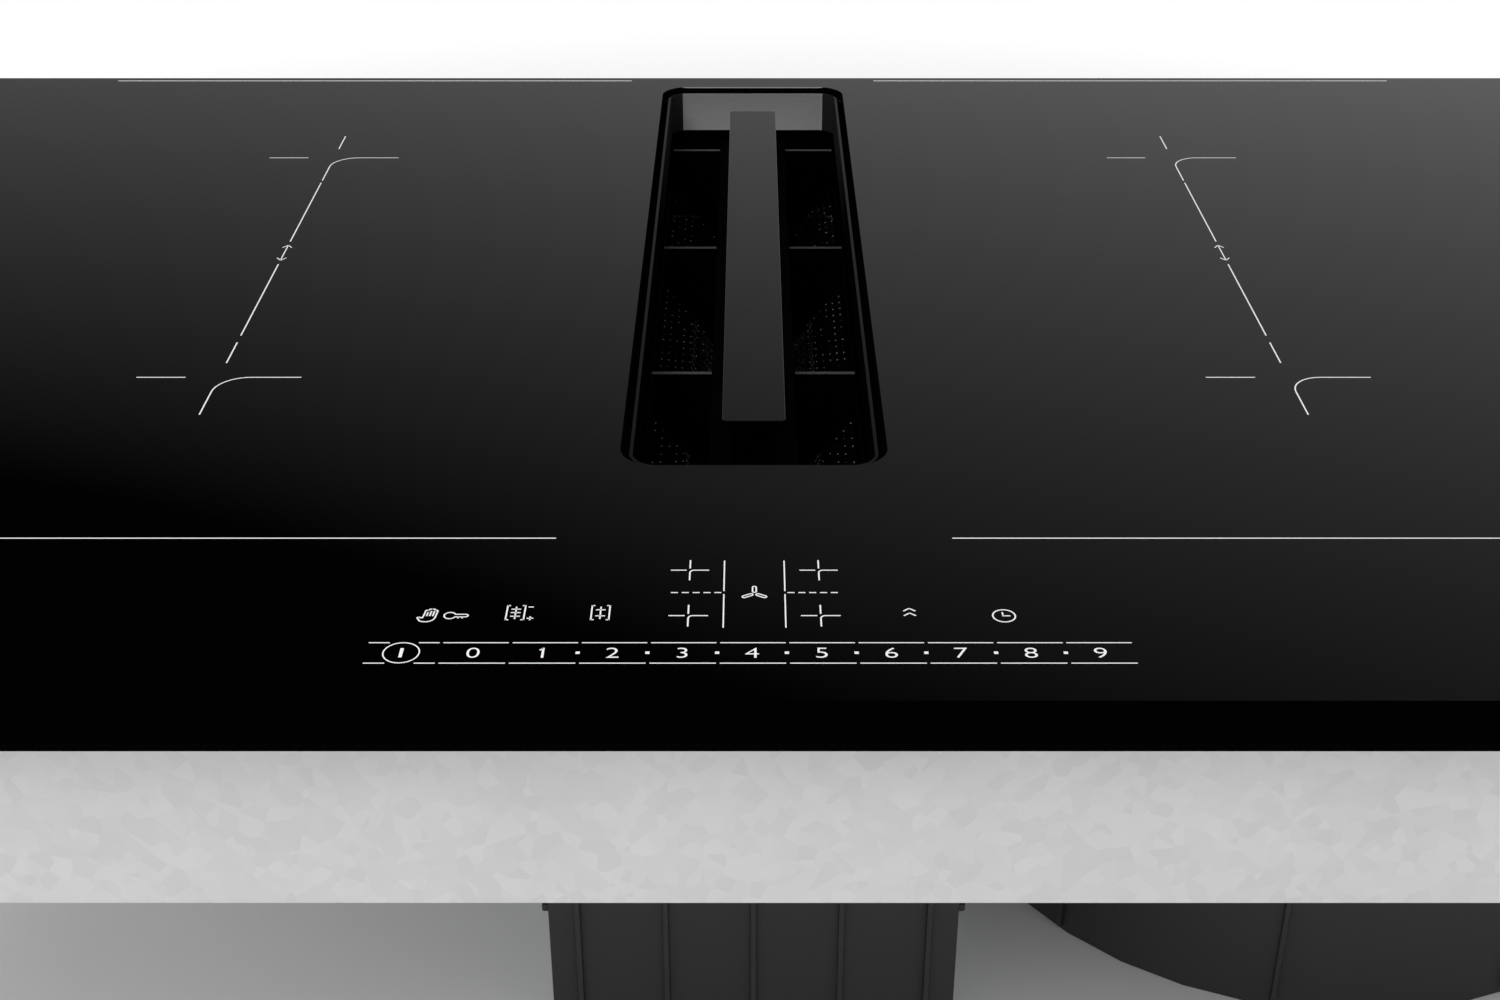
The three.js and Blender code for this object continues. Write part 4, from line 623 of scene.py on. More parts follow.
def turned(bm, profile, place, axis=UP, steps=16):
    """A round piece: its profile, given as (radius, height), is swung about an axis through a place."""
    verts = [bm.verts.new((radius, 0, height)) for radius, height in profile]
    edges = [bm.edges.new(pair) for pair in zip(verts, verts[1:])]
    before = set(bm.verts) - set(verts)
    whole = {"cent": (0, 0, 0), "axis": UP, "angle": 2 * math.pi, "steps": steps, "use_merge": True}
    bmesh.ops.spin(bm, geom=verts + edges, **whole)
    bmesh.ops.remove_doubles(bm, verts=[vert for vert in bm.verts if vert not in before], dist=WELD)
    made = [vert for vert in bm.verts if vert not in before]
    bmesh.ops.recalc_face_normals(bm, faces=list({face for vert in made for face in vert.link_faces}))
    stand = Vector(axis).to_track_quat("Z", "Y").to_matrix().to_4x4()
    bmesh.ops.transform(bm, matrix=Matrix.Translation(place) @ stand, verts=made)


def tube(inner, outer, low, high):
    """The profile of a round wall."""
    return ((inner, low), (inner, high), (outer, high), (outer, low), (inner, low))


def screw(bm, place, axis, radius=SCREW_RADIUS):
    """A pan head with a socket. Its underside lies on the place."""
    head = radius * 0.55
    socket = radius * 0.45
    recess = [(0, head - socket), (socket, head - socket), (socket, head)]
    crown = [(radius * 0.6, head), (radius * 0.88, head * 0.8), (radius, head * 0.45), (radius, 0), (0, 0)]
    turned(bm, recess + crown, place, axis)


def round_over(bm, edges, width, clamp=True):
    settings = {"affect": "EDGES", "segments": 2, "profile": 0.5, "material": -1, "clamp_overlap": clamp}
    bmesh.ops.bevel(bm, geom=edges, offset=width, **settings)


def brick(bm, corner, opposite, edge=ROUND_OVER):
    """A block between two opposite corners, with its edges rounded over."""
    corner, opposite = Vector(corner), Vector(opposite)
    size = Matrix.Diagonal((*map(abs, opposite - corner), 1))
    cube = bmesh.ops.create_cube(bm, size=1, matrix=Matrix.Translation((corner + opposite) / 2) @ size)
    round_over(bm, edges_round(cube["verts"]), edge)


def rib_on(bm, point, facing, z0, z1, depth=WALL_RIB_DEPTH):
    """An upright rib that stands out from a wall at a point, the way that the wall faces."""
    turn = Matrix.Rotation(math.atan2(facing[1], facing[0]), 4, "Z")
    out = Matrix.Translation(((depth - WALL_RIB_ROOT) / 2, 0, 0))
    size = Matrix.Diagonal((depth + WALL_RIB_ROOT, WALL_RIB_WIDTH, z1 - z0, 1))
    place = Matrix.Translation((point[0], point[1], (z0 + z1) / 2))
    cube = bmesh.ops.create_cube(bm, size=1, matrix=place @ turn @ out @ size)
    round_over(bm, edges_round(cube["verts"]), WALL_RIB_EDGE)


def wall_ribs(bm, rect, axis, places, z0, z1, depth=WALL_RIB_DEPTH):
    """Upright ribs on the two walls of a rectangle that face along an axis."""
    for side in (0, 1):
        for place in places:
            point, facing = [place * MM] * 2, [0, 0]
            point[axis] = rect[2 * axis + side]
            facing[axis] = 2 * side - 1
            rib_on(bm, point, facing, z0, z1, depth)


def cut(bm, place, normal, drop=False):
    """Cuts a mesh along a plane, and drops what is in front of the plane where that is asked."""
    everything = bm.verts[:] + bm.edges[:] + bm.faces[:]
    plane = {"plane_co": place, "plane_no": normal, "clear_outer": drop, "dist": WELD}
    bmesh.ops.bisect_plane(bm, geom=everything, **plane)


def softened(node, body, finish):
    """A copy of a CAD piece with its edges rounded over, which stands for it."""
    bm = bmesh.new()
    bm.from_mesh(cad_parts[node].data)
    bmesh.ops.remove_doubles(bm, verts=bm.verts, dist=WELD)
    bmesh.ops.dissolve_limit(bm, angle_limit=FLAT_ANGLE, verts=bm.verts, edges=bm.edges)
    sharp = [edge for edge in bm.edges if len(edge.link_faces) == 2 and edge.calc_face_angle() > SHARP_ANGLE]
    round_over(bm, sharp, ROUND_OVER, clamp=False)
    return piece(bm, f"{node}_rounded", body, finish, node)


# ---------------------------------------------------------------------------------------------
# Finishes.


def black_glass():
    nodes = Paint("black_glass")
    wiped = nodes.noise(9, detail=2, where=nodes.scaled(1, 4, 1))
    roughness = nodes.spread(wiped, 0.3, 0.8, 0.01, 0.045)
    return nodes.principled(Base_Color=rgb(0.0006, 0.0006, 0.0007), Roughness=roughness, IOR=1.5)


def seamed_edge():
    """The seamed edges of the glass: dull black, but the slope at the back of the cut-out carries a painted
    highlight that grows towards the right corner into a painted glint.
    """
    nodes = Paint("seamed_edge")
    x, y, z = nodes.parts(nodes.place())
    grain = nodes.noise(3500, detail=2)
    # Painted highlight: the slope behind the cut-out is painted light grey, and lighter still towards the
    # right corner as a painted glint.
    behind = (y > cutout.y1 + 0.05 * MM) * (y < cutout.y1 + 2 * CUTOUT_BEVEL)
    shine = behind * (z > glass_top - CUTOUT_BEVEL) * nodes.spread(x, 30 * MM, 39 * MM, 0.5, 1)
    return nodes.principled(
        Base_Color=nodes.mix(shine, grey(0.0012), grey(0.5)),
        Roughness=nodes.spread(grain, 0.3, 0.7, 0.55, 0.7),
        Specular_IOR_Level=0.0,
        Normal=nodes.bump(grain, 0.15, 0.03 * MM),
    )


def white_print():
    """Fired ceramic ink: matt, very slightly uneven."""
    nodes = Paint("white_print")
    grain = nodes.noise(2600)
    color = nodes.tone(grain, 0.3, 0.7, grey(0.92), grey(0.99))
    return nodes.principled(Base_Color=color, Roughness=0.55, Normal=nodes.bump(grain, 0.15, 0.03 * MM))


def gloss_enamel(name, color, roughness, peel=0.05):
    """Sprayed gloss enamel with a trace of orange peel."""
    nodes = Paint(name)
    dull = nodes.spread(nodes.noise(30), 0.3, 0.8, roughness * 0.6, roughness * 1.6)
    ripple = nodes.noise(420, detail=1)
    return nodes.principled(Base_Color=color, Roughness=dull, Normal=nodes.bump(ripple, peel, 0.05 * MM))


def satin_enamel(name, color, roughness, shine):
    """Baked black enamel with a fine, even tooth."""
    nodes = Paint(name)
    tooth = nodes.noise(1500, detail=2)
    return nodes.principled(
        Base_Color=nodes.tone(tooth, 0.3, 0.7, grey(color * 0.7), grey(color * 1.2)),
        Roughness=nodes.spread(tooth, 0.3, 0.7, roughness - 0.06, roughness + 0.06),
        Specular_IOR_Level=shine,
        Normal=nodes.bump(tooth, 0.08, 0.03 * MM),
    )


def frame_enamel():
    """Satin black, but for the back wall of the intake, which is bare brushed metal up to its corners. Its
    grey is a painted reflection, lightened towards the bottom by painted light against the shade there, and
    the inner side walls carry a painted sheen near the back.
    """
    nodes = Paint("frame_enamel")
    x, y, z = nodes.parts(nodes.place())
    streak = nodes.noise(60, detail=4, roughness=0.7, where=nodes.scaled(1, 1, 60))
    edge = nodes.spread(x.size() + streak * 3 * MM, BARE_HALF_WIDTH + 1.6 * MM, BARE_HALF_WIDTH + 0.6 * MM)
    bare = edge * (y > rim_inner.y1 - 0.4 * MM) * (y < rim_inner.y1 + 0.4 * MM)
    inside = nodes.spread(x.size(), rim_inner.x1 + 0.1 * MM, rim_inner.x1 + 0.05 * MM)
    # Painted sheen: the inner side walls turn lighter grey towards the back wall, as a reflection of it.
    wall = nodes.mix(inside * nodes.spread(y, 100 * MM, 185 * MM), grey(0.0012), grey(0.016))
    # The bare wall's matt grey stands in for the reflection of bare metal, a painted reflection. The streaks
    # are its brushing, and the rise towards the bottom is painted light against the shade there.
    light = nodes.spread(streak, 0.3, 0.75, 0, 0.25) + nodes.spread(z, 2 * MM, -14 * MM, 0, 0.75)
    return nodes.principled(
        Base_Color=nodes.mix(bare, wall, nodes.mix(light, grey(0.205), grey(0.39))),
        Roughness=nodes.spread(bare, 0, 1, 0.6, 0.5),
        Specular_IOR_Level=0.0,
        Normal=nodes.bump(streak, 0.08, 0.1 * MM),
    )


def rib_metal():
    """The bare edges of the ribs, with painted light that makes them brighter towards the ends of the
    filter, most at the back.
    """
    nodes = Paint("rib_metal")
    _, y, _ = nodes.parts(nodes.place())
    lines = nodes.noise(500, where=nodes.scaled(1, 0.1, 1))
    # Painted light: the ribs are painted brighter away from the middle rib, and most at the back.
    towards_back = nodes.spread(y, middle_rib, middle_rib + RIB_PITCH, 0.45, 1)
    painted_light = nodes.spread((y - middle_rib).size(), 0, RIB_PITCH) * towards_back
    color = nodes.mix(painted_light + lines * 0.1, grey(0.045), grey(0.08))
    return nodes.principled(Base_Color=color, Roughness=0.5, Normal=nodes.bump(lines, 0.1, 0.03 * MM))


def knot_metal():
    """The knots of the filter mesh, with painted glints in places, mostly towards the front."""
    nodes = Paint("knot_metal")
    _, y, _ = nodes.parts(nodes.place())
    # Painted glints: knots picked at random, more of them towards the front, are painted bright.
    chance = nodes.noise(240, detail=0) + nodes.spread(y, middle_rib + RIB_PITCH, middle_rib, -0.12, 0.05)
    painted_light = nodes.spread(chance, 0.46, 0.54)
    return nodes.principled(
        Base_Color=nodes.mix(painted_light, grey(0.002), grey(0.32)),
        Roughness=nodes.spread(painted_light, 0, 1, 0.6, 0.35),
        Normal=nodes.bump(nodes.noise(4000, detail=2), 0.1, 0.02 * MM),
    )


def moulded(name, color, roughness, grain=0.35):
    """Moulded plastic with a fine spark-eroded grain and faint flow marks."""
    nodes = Paint(name)
    fine = nodes.noise(1900, detail=2)
    flow = nodes.noise(7)
    return nodes.principled(
        Base_Color=nodes.tone(flow, 0.3, 0.7, shade(color, 0.82), shade(color, 1.14)),
        Roughness=nodes.spread(flow + fine * 0.3, 0.4, 0.95, roughness - 0.06, roughness + 0.08),
        Normal=nodes.bump(fine, grain, 0.06 * MM),
    )


def galvanised():
    """Hot-dip galvanised sheet: small zinc crystals that differ a little in tone, and light scuffs."""
    nodes = Paint("galvanised_sheet")
    crystal, _, _ = nodes.parts(nodes.cells(210, output="Color"))
    cloud = nodes.noise(28, detail=4, roughness=0.65)
    scuff = nodes.noise(420, detail=5, roughness=0.7)
    return nodes.principled(
        Base_Color=nodes.tone(crystal * 0.45 + cloud * 0.55, 0.2, 0.8, grey(0.74), grey(0.84)),
        Metallic=0.35,
        Roughness=nodes.spread(crystal * 0.6 + scuff * 0.4, 0.1, 0.9, 0.38, 0.52),
        Normal=nodes.bump(scuff, 0.06, 0.04 * MM),
    )


def drawn_metal(name, color, along, roughness):
    """Bare metal with fine lines that run one way: along is the stretch of the grain on each axis."""
    nodes = Paint(name)
    lines = nodes.noise(700, detail=4, roughness=0.7, where=nodes.scaled(*along))
    return nodes.principled(
        Base_Color=nodes.tone(lines, 0.3, 0.7, shade(color, 0.8), color),
        Metallic=1.0,
        Roughness=nodes.spread(lines, 0.3, 0.7, roughness - 0.08, roughness + 0.1),
        Normal=nodes.bump(lines, 0.1, 0.03 * MM),
    )


def foam():
    """Closed-cell sealing foam."""
    nodes = Paint("sealing_foam")
    pores = nodes.cells(900)
    color = nodes.tone(pores, 0.1, 0.6, grey(0.006), grey(0.03))
    return nodes.principled(Base_Color=color, Roughness=0.95, Normal=nodes.bump(pores, 0.6, 0.3 * MM))


def sintered():
    """Ferrite: dark, dull and grainy, with bright specks."""
    nodes = Paint("sintered_ferrite")
    grain = nodes.noise(1300, detail=4, roughness=0.75)
    color = nodes.tone(grain, 0.4, 0.75, grey(0.02), grey(0.075))
    return nodes.principled(Base_Color=color, Roughness=0.7, Normal=nodes.bump(grain, 0.3, 0.1 * MM))


def litz_wire():
    """Copper litz: many thin enamelled strands that twist round each other."""
    nodes = Paint("litz_wire")
    x, y, z = nodes.parts(nodes.place())
    strands = ((x + y) * 2600 + z * 1900).sine()
    copper = nodes.tone(nodes.noise(90), 0.3, 0.7, rgb(0.42, 0.16, 0.06), rgb(0.62, 0.27, 0.11))
    return nodes.principled(
        Base_Color=nodes.tone(strands, -1, 0.2, rgb(0.12, 0.04, 0.015), copper),
        Metallic=0.7,
        Roughness=0.42,
        Normal=nodes.bump(strands, 0.5, 0.15 * MM),
    )


def circuit_board():
    """Green solder mask over tracks that run square to each other, with tinned pads."""
    nodes = Paint("circuit_board")
    x, y, _ = nodes.parts(nodes.place())
    block, _, _ = nodes.parts(nodes.cells(60, output="Color"))
    across = (x * 900).sine() * (block > 0.5) + (y * 900).sine() * (block < 0.5)
    track = across > 0.2
    pads = nodes.cells(230) < 0.12
    mask = nodes.mix(track, rgb(0.006, 0.055, 0.02), rgb(0.012, 0.11, 0.04))
    return nodes.principled(
        Base_Color=nodes.mix(pads, mask, grey(0.55)),
        Metallic=pads * 0.9,
        Roughness=nodes.spread(pads, 0, 1, 0.35, 0.28),
        Normal=nodes.bump(track + pads, 0.3, 0.06 * MM),
    )


# ---------------------------------------------------------------------------------------------
# Glass.


def glass_panel(glass):
    """The panel with its cut-out, rounded arrises, the slope round the cut-out and the front facet."""
    outer = plan("glass_panel")
    low = bottom("glass_panel")
    narrow = (cutout, CUTOUT_CORNER)
    wide = (cutout.grow(CUTOUT_BEVEL), CUTOUT_CORNER + CUTOUT_BEVEL)
    hole = [(*wide, low), (*narrow, low + CUTOUT_BEVEL)]
    hole += [(*narrow, glass_top - CUTOUT_BEVEL), (*wide, glass_top)]
    bm = bmesh.new()
    walls = []
    for stations in (arris(outer, GLASS_CORNER, low, glass_top, GLASS_ARRIS), hole):
        loops = [outline(bm, *station) for station in stations]
        for first, second in zip(loops, loops[1:]):
            for face in bmesh.ops.bridge_loops(bm, edges=first + second)["faces"]:
                face.material_index = 1
        walls.append(loops)
    for end, facing in ((0, DOWN), (-1, UP)):
        bmesh.ops.triangle_fill(bm, edges=walls[0][end] + walls[1][end], normal=facing)
    crease = outer.y0 + FACET_DEPTH
    cut(bm, (0, crease, 0), BACK)
    for vert in bm.verts:
        if vert.co.y < crease and vert.co.z > (low + glass_top) / 2:
            vert.co.z -= (crease - vert.co.y) * FACET_DROP / FACET_DEPTH
    bmesh.ops.recalc_face_normals(bm, faces=bm.faces)
    piece(bm, "glass_panel_polished", "cooktop", glass, "glass_panel", FACET_ANGLE)


class Pen:
    """Draws bands on the glass, in millimetres: a short edge is run forward, or swung round a centre."""

    def __init__(self):
        self.bm = bmesh.new()
        self.width = FINE_LINE

    def across(self):
        return Vector((-math.sin(self.heading), math.cos(self.heading), 0))

    def start(self, x, y, heading, width=None):
        self.heading = math.radians(heading)
        self.place = Vector((x, y, 0))
        side = self.across() * (width or self.width) / 2
        ends = [self.bm.verts.new(self.place + offset) for offset in (side, -side)]
        self.edge = self.bm.edges.new(ends)
        return self

    def line(self, x, y, heading, length, width=None):
        self.start(x, y, heading, width).forward(length)

    def carry_on(self, made):
        ends = verts_of(made)
        self.edge = self.bm.edges.get(ends)
        return ends

    def forward(self, length):
        ahead = toward(self.heading) * length
        ends = self.carry_on(bmesh.ops.extrude_edge_only(self.bm, edges=[self.edge])["geom"])
        bmesh.ops.translate(self.bm, verts=ends, vec=ahead)
        self.place += ahead
        return self

    def turn(self, radius, angle):
        """Swings to the left for a positive angle, and to the right for a negative one."""
        centre = self.place + self.across() * math.copysign(radius, angle)
        swing = math.radians(angle)
        steps = max(3, round(abs(angle) / TURN_STEP))
        geom = [self.edge, *self.edge.verts]
        made = bmesh.ops.spin(self.bm, geom=geom, cent=centre, axis=UP, angle=swing, steps=steps)
        ends = self.carry_on(made["geom_last"])
        self.place = (ends[0].co + ends[1].co) / 2
        self.heading += swing
        return self


def outward(side):
    """The heading that leads away from the middle of the panel."""
    return 90 - side * 90


def zone_cross(pen, x, y, arm, gap, radius):
    """The cross in the middle of a zone. Its right and lower arms are joined by an arc."""
    pen.line(x - arm, y, 0, arm - gap)
    pen.line(x, y + gap, 90, arm - gap)
    pen.start(x + arm, y, 180).forward(arm - radius).turn(radius, 90).forward(arm - radius)


def draw_zones(pen):
    for side in (-1, 1):
        low, high = BORDER_ENDS
        for row, width in BORDER_ROWS:
            pen.line(side * low, row, outward(side), high - low, width)
        pen.width = ZONE_LINE
        for row in ZONE_ROWS:
            zone_cross(pen, side * ZONE_X, row, 27.2, 11.0, 10.6)
        for upper, length in LINK_LINES:
            pen.line(side * ZONE_X, upper, -90, length)
        pen.width = FINE_LINE
        upper, length = LINK_ARROW
        pen.line(side * ZONE_X, upper, -90, length)
        for end, heading in ((upper, -90), (upper - length, 90)):
            for lean in (-35, 35):
                pen.line(side * ZONE_X, end, heading + lean, 3)


def draw_zone_keys(pen):
    for side in (-1, 1):
        for upper, length in BAR_LINES:
            pen.line(side * BAR_X, upper, -90, length, ICON_LINE)
        for x, row in MINI_CROSS:
            zone_cross(pen, side * x, row, 5.3, 0.95, 1.3)
        for i in range(DASH_COUNT):
            pen.line(side * (DASH_START + i * DASH_PITCH), DASH_ROW, outward(side), DASH_LENGTH)


def draw_fan(pen):
    """Three blades, each a long loop with round ends."""
    for heading in (90, 210, 330):
        angle = math.radians(heading)
        start = Vector((*FAN_ICON, 0)) + toward(angle) * 1.1
        pen.start(start.x + 0.5 * math.sin(angle), start.y - 0.5 * math.cos(angle), heading)
        pen.forward(2.1).turn(0.5, 180).forward(2.1).turn(0.5, 180)


def draw_hand(pen):
    """An open hand: four fingers, then the palm and the thumb in one sweep."""
    pen.start(HAND_X - 2.67, ICON_ROW - 2.03, -35).forward(0.8).turn(0.3, 119).forward(0.7)
    for i, rise in enumerate((2.5, 3.1, 3.1, 2.5)):
        pen.start(HAND_X - 1.42 + 0.81 * i, ICON_ROW - 1.6, 84).forward(rise).turn(0.41, -180)
        pen.forward(0.6)
    pen.forward(2.5).turn(2.4, -97).forward(0.55).turn(1.0, -50).forward(1.3).turn(0.25, -152)


def draw_key(pen):
    """An outlined key: a round bow and a shaft."""
    pen.start(KEY_X + 3.3, ICON_ROW - 2.0, 180).forward(2.6).turn(0.3, 60).turn(1.55, -300)
    pen.turn(0.3, 60).forward(2.6).turn(0.625, -180)
    for x in (1.4, 2.5):
        pen.line(KEY_X + x, ICON_ROW - 2.0, -90, 0.75)


def draw_brackets(pen, x, rows):
    """Square brackets round an upright that has crossbars."""
    for side in (-1, 1):
        pen.line(x + side * 1.6, ICON_ROW + 3.6, outward(side), 0.9)
        pen.line(x + side * 2.4, ICON_ROW + 3.8, -90, 7.4)
        pen.line(x + side * 1.6, ICON_ROW - 3.4, outward(side), 0.9)
    pen.line(x, ICON_ROW + 3.0, -90, 6.0)
    for row in rows:
        pen.line(x - 1.3, ICON_ROW + row, 0, 2.6)


def draw_icons(pen):
    draw_hand(pen)
    draw_key(pen)
    moving, joined = ZONES_X
    draw_brackets(pen, moving, (1.8, 0.1, -1.7))
    pen.line(moving + 3.2, ICON_ROW + 2.9, 0, 1.4)
    pen.line(moving + 3.2, ICON_ROW - 2.7, 0, 1.8)
    pen.line(moving + 4.1, ICON_ROW - 1.8, -90, 1.8)
    draw_brackets(pen, joined, (1.5, -1.5))
    for row in CHEVRON_ROWS:
        for lean in (-50, 50):
            pen.line(CHEVRON_X, row + 1.3, -90 + lean, 2.1)
    pen.start(CLOCK_X + CLOCK_RADIUS, ICON_ROW - 1.5, 90).turn(CLOCK_RADIUS, 360)
    pen.line(CLOCK_X - 0.3, ICON_ROW - 1.5, 90, 1.8)
    pen.line(CLOCK_X - 0.5, ICON_ROW - 1.5, 0, 2.2)


def draw_slider(pen):
    pen.width = ICON_LINE
    cells = [(SLIDER_START + i * SLIDER_PITCH, SLIDER_LINE) for i in range(SLIDER_CELLS)]
    for row in SLIDER_ROWS:
        for x, length in (*cells, *POWER_LINES):
            pen.line(x, row, 0, length)
    x, y = POWER_PLACE
    pen.start(x + POWER_RADIUS, y, 90).turn(POWER_RADIUS, 360)
    pen.line(x, y - 2.1, 90, 4.2, POWER_BAR)
    for i in range(1, SLIDER_CELLS - 1):
        x = DIGIT_START + (i + 0.5) * SLIDER_PITCH - DOT_SIZE / 2
        pen.line(x, y, 0, DOT_SIZE, DOT_SIZE)
    upper = y + DIGIT_HEIGHT / 2 - FINE_LINE / 2
    pen.line(DIGIT_START + SLIDER_PITCH, upper, 225, FLAG_LENGTH, FINE_LINE)
    for i in range(SLIDER_CELLS):
        digit(pen.bm, i, DIGIT_START + i * SLIDER_PITCH, y)


def digit(bm, number, x, y):
    """Adds one digit of plain lettering, centred on (x, y) in millimetres."""
    text = bpy.data.curves.new("digit", "FONT")
    text.body = str(number)
    text.offset = DIGIT_THINNING
    holder = add("digit", text)
    bpy.context.view_layer.update()
    mesh = bpy.data.meshes.new_from_object(holder)
    bpy.data.objects.remove(holder)
    glyph = bmesh.new()
    glyph.from_mesh(mesh)
    bmesh.ops.remove_doubles(glyph, verts=glyph.verts, dist=DIGIT_WELD)
    low = Vector([min(vert.co[axis] for vert in glyph.verts) for axis in range(3)])
    high = Vector([max(vert.co[axis] for vert in glyph.verts) for axis in range(3)])
    size = DIGIT_HEIGHT / (high.y - low.y)
    bmesh.ops.translate(glyph, verts=glyph.verts, vec=-(low + high) / 2)
    bmesh.ops.scale(glyph, verts=glyph.verts, vec=(size * DIGIT_STRETCH, size, 1))
    bmesh.ops.translate(glyph, verts=glyph.verts, vec=(x, y, 0))
    glyph.to_mesh(mesh)
    glyph.free()
    bm.from_mesh(mesh)


def printed(name, ink, *drawings):
    """Lays drawings on the glass, as a thin layer of ink."""
    pen = Pen()
    for draw in drawings:
        draw(pen)
    bm = pen.bm
    bmesh.ops.remove_doubles(bm, verts=bm.verts, dist=INK_WELD)
    bmesh.ops.scale(bm, verts=bm.verts, vec=(MM, MM, 0))
    bm.normal_update()
    bmesh.ops.reverse_faces(bm, faces=[face for face in bm.faces if face.normal.z < 0])
    bmesh.ops.solidify(bm, geom=bm.faces[:], thickness=PRINT_HEIGHT)
    bmesh.ops.translate(bm, verts=bm.verts, vec=(0, 0, glass_top + PRINT_HEIGHT))
    piece(bm, name, "cooktop", ink)


# ---------------------------------------------------------------------------------------------
# Intake frame, handle and filter.


def intake_frame(enamel):
    """The rim: a thin wall with a flat satin top, and a flange under the glass."""
    low, high = bottom("intake_frame"), top("intake_frame") - RIM_DROP
    under, over = FLANGE_LEVELS
    outer = (rim_outer, CUTOUT_CORNER - RIM_GAP)
    inner = (rim_inner, outer[1] - RIM_WALL)
    flange = (plan("intake_frame"), outer[1])
    stations = [
        (*inner, low),
        (*inner, high - RIM_ARRIS),
        (inner[0].grow(RIM_ARRIS), inner[1] + RIM_ARRIS, high),
        (outer[0].grow(-RIM_ARRIS), outer[1] - RIM_ARRIS, high),
        (*outer, high - RIM_ARRIS),
        (*outer, over),
        (*flange, over),
        (*flange, under),
        (*outer, under),
        (*outer, low),
    ]
    bm = bmesh.new()
    loft(bm, stations, closed=True)
    for face in bm.faces:
        face.material_index = 1 if face.calc_center_median().z > high - RIM_ARRIS / 4 else 0
    piece(bm, "intake_frame_enamelled", "cooktop", enamel, "intake_frame", RIM_ANGLE)


def handle_bar(enamel):
    bm = bmesh.new()
    low, high = bottom("handle_bar"), top("handle_bar")
    loft(bm, arris(plan("handle_bar"), HANDLE_CORNER, low, high, HANDLE_ARRIS))
    piece(bm, "handle_bar_polished", "filter", enamel, "handle_bar", HANDLE_ANGLE)


def filter_mesh(side, node, enamel, worn):
    """Expanded metal: a wavy net of diamonds laid on the slope between the spine and the side wall."""
    low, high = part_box(node)
    foot = Vector((low.x if side > 0 else high.x, 0, low.z + MESH_DROP))
    head = Vector((high.x if side > 0 else low.x, 0, high.z - MESH_DROP))
    up = head - foot
    reach = ((high.y - low.y) / 2, up.length / 2)
    columns = math.ceil(2 * reach[0] / CELL_LENGTH) + 1
    rows = math.ceil(2 * reach[1] / CELL_WIDTH) + 1
    bm = bmesh.new()
    bmesh.ops.create_grid(bm, x_segments=columns, y_segments=rows, size=0.5)
    bmesh.ops.scale(bm, verts=bm.verts, vec=(columns * CELL_LENGTH, rows * CELL_WIDTH, 1))
    bmesh.ops.poke(bm, faces=bm.faces)
    for vert in bm.verts:
        vert.co.z = STRAND_WAVE if len(vert.link_edges) == 4 else -STRAND_WAVE
    straight = [edge for edge in bm.edges if is_straight(edge)]
    bmesh.ops.dissolve_edges(bm, edges=[edge for edge in straight if len(edge.link_faces) == 2])
    for axis in (0, 1):
        for sign in (-1, 1):
            edge = Vector((0, 0, 0))
            edge[axis] = sign * (reach[axis] - STRAND)
            cut(bm, edge, edge.normalized(), drop=True)
    bmesh.ops.wireframe(bm, faces=bm.faces[:], thickness=STRAND, use_replace=True, use_boundary=True)
    along = Vector((0, side, 0))
    slope = up.normalized()
    middle = (foot + head) / 2 + Vector((0, (low.y + high.y) / 2, 0))
    lay = Matrix.Translation(middle) @ Matrix((along, slope, along.cross(slope))).transposed().to_4x4()
    bmesh.ops.transform(bm, matrix=lay, verts=bm.verts)
    bmesh.ops.recalc_face_normals(bm, faces=bm.faces)
    piece(bm, f"{node}_expanded", "filter", enamel, node, math.pi)
    bm = knot_field(reach, (columns, rows))
    bmesh.ops.transform(bm, matrix=lay, verts=bm.verts)
    piece(bm, f"{node}_knots", "filter", worn)


def is_straight(edge):
    """Whether an edge runs along the net or across it, and not along a strand."""
    run = edge.verts[0].co - edge.verts[1].co
    return min(abs(run.x), abs(run.y)) < WELD


def knot_field(reach, counts):
    """The flattened knots on the crests of the net, as far as they fit."""
    pitch = (CELL_LENGTH, CELL_WIDTH)
    start = Vector((0, 0, -STRAND_WAVE - STRAND / 2 - KNOT_RISE))
    steps = []
    for axis in (0, 1):
        shift = -counts[axis] / 2
        room = reach[axis] - KNOT_INSET
        first = math.ceil(-room / pitch[axis] - shift)
        start[axis] = (first + shift) * pitch[axis]
        steps.append(math.floor(room / pitch[axis] - shift) - first)
    bm = bmesh.new()
    size = {"radius1": KNOT_RADIUS / 2, "radius2": KNOT_RADIUS, "depth": KNOT_HEIGHT}
    bmesh.ops.create_cone(bm, cap_ends=True, segments=5, matrix=Matrix.Translation(start), **size)
    for axis in (0, 1):
        row = bm.verts[:] + bm.edges[:] + bm.faces[:]
        for step in range(1, steps[axis] + 1):
            copy = bmesh.ops.duplicate(bm, geom=row)["geom"]
            along = Vector((0, 0, 0))
            along[axis] = step * pitch[axis]
            bmesh.ops.translate(bm, verts=verts_of(copy), vec=along)
    return bm


def rib_strips(steel):
    """The bare upper edges of the cross ribs, on each side of the spine."""
    half = (lip.x1 - SPINE_HALF_WIDTH) / 2 - STRIP_INSET
    bm = bmesh.new()
    y = back_rib
    while y > plan("filter_mesh_right").y0 + RIB_PITCH / 2:
        for side in (-1, 1):
            middle = side * (SPINE_HALF_WIDTH + lip.x1) / 2
            strip = Rect(middle - half, middle + half, y - RIB_THICKNESS / 2, y + RIB_THICKNESS / 2)
            rounded = arris(strip, STRIP_CORNER, RIB_TOP, RIB_TOP + STRIP_THICKNESS, STRIP_THICKNESS / 3)
            loft(bm, rounded, steps=2)
        y -= RIB_PITCH
    piece(bm, "rib_edges", "filter", steel)


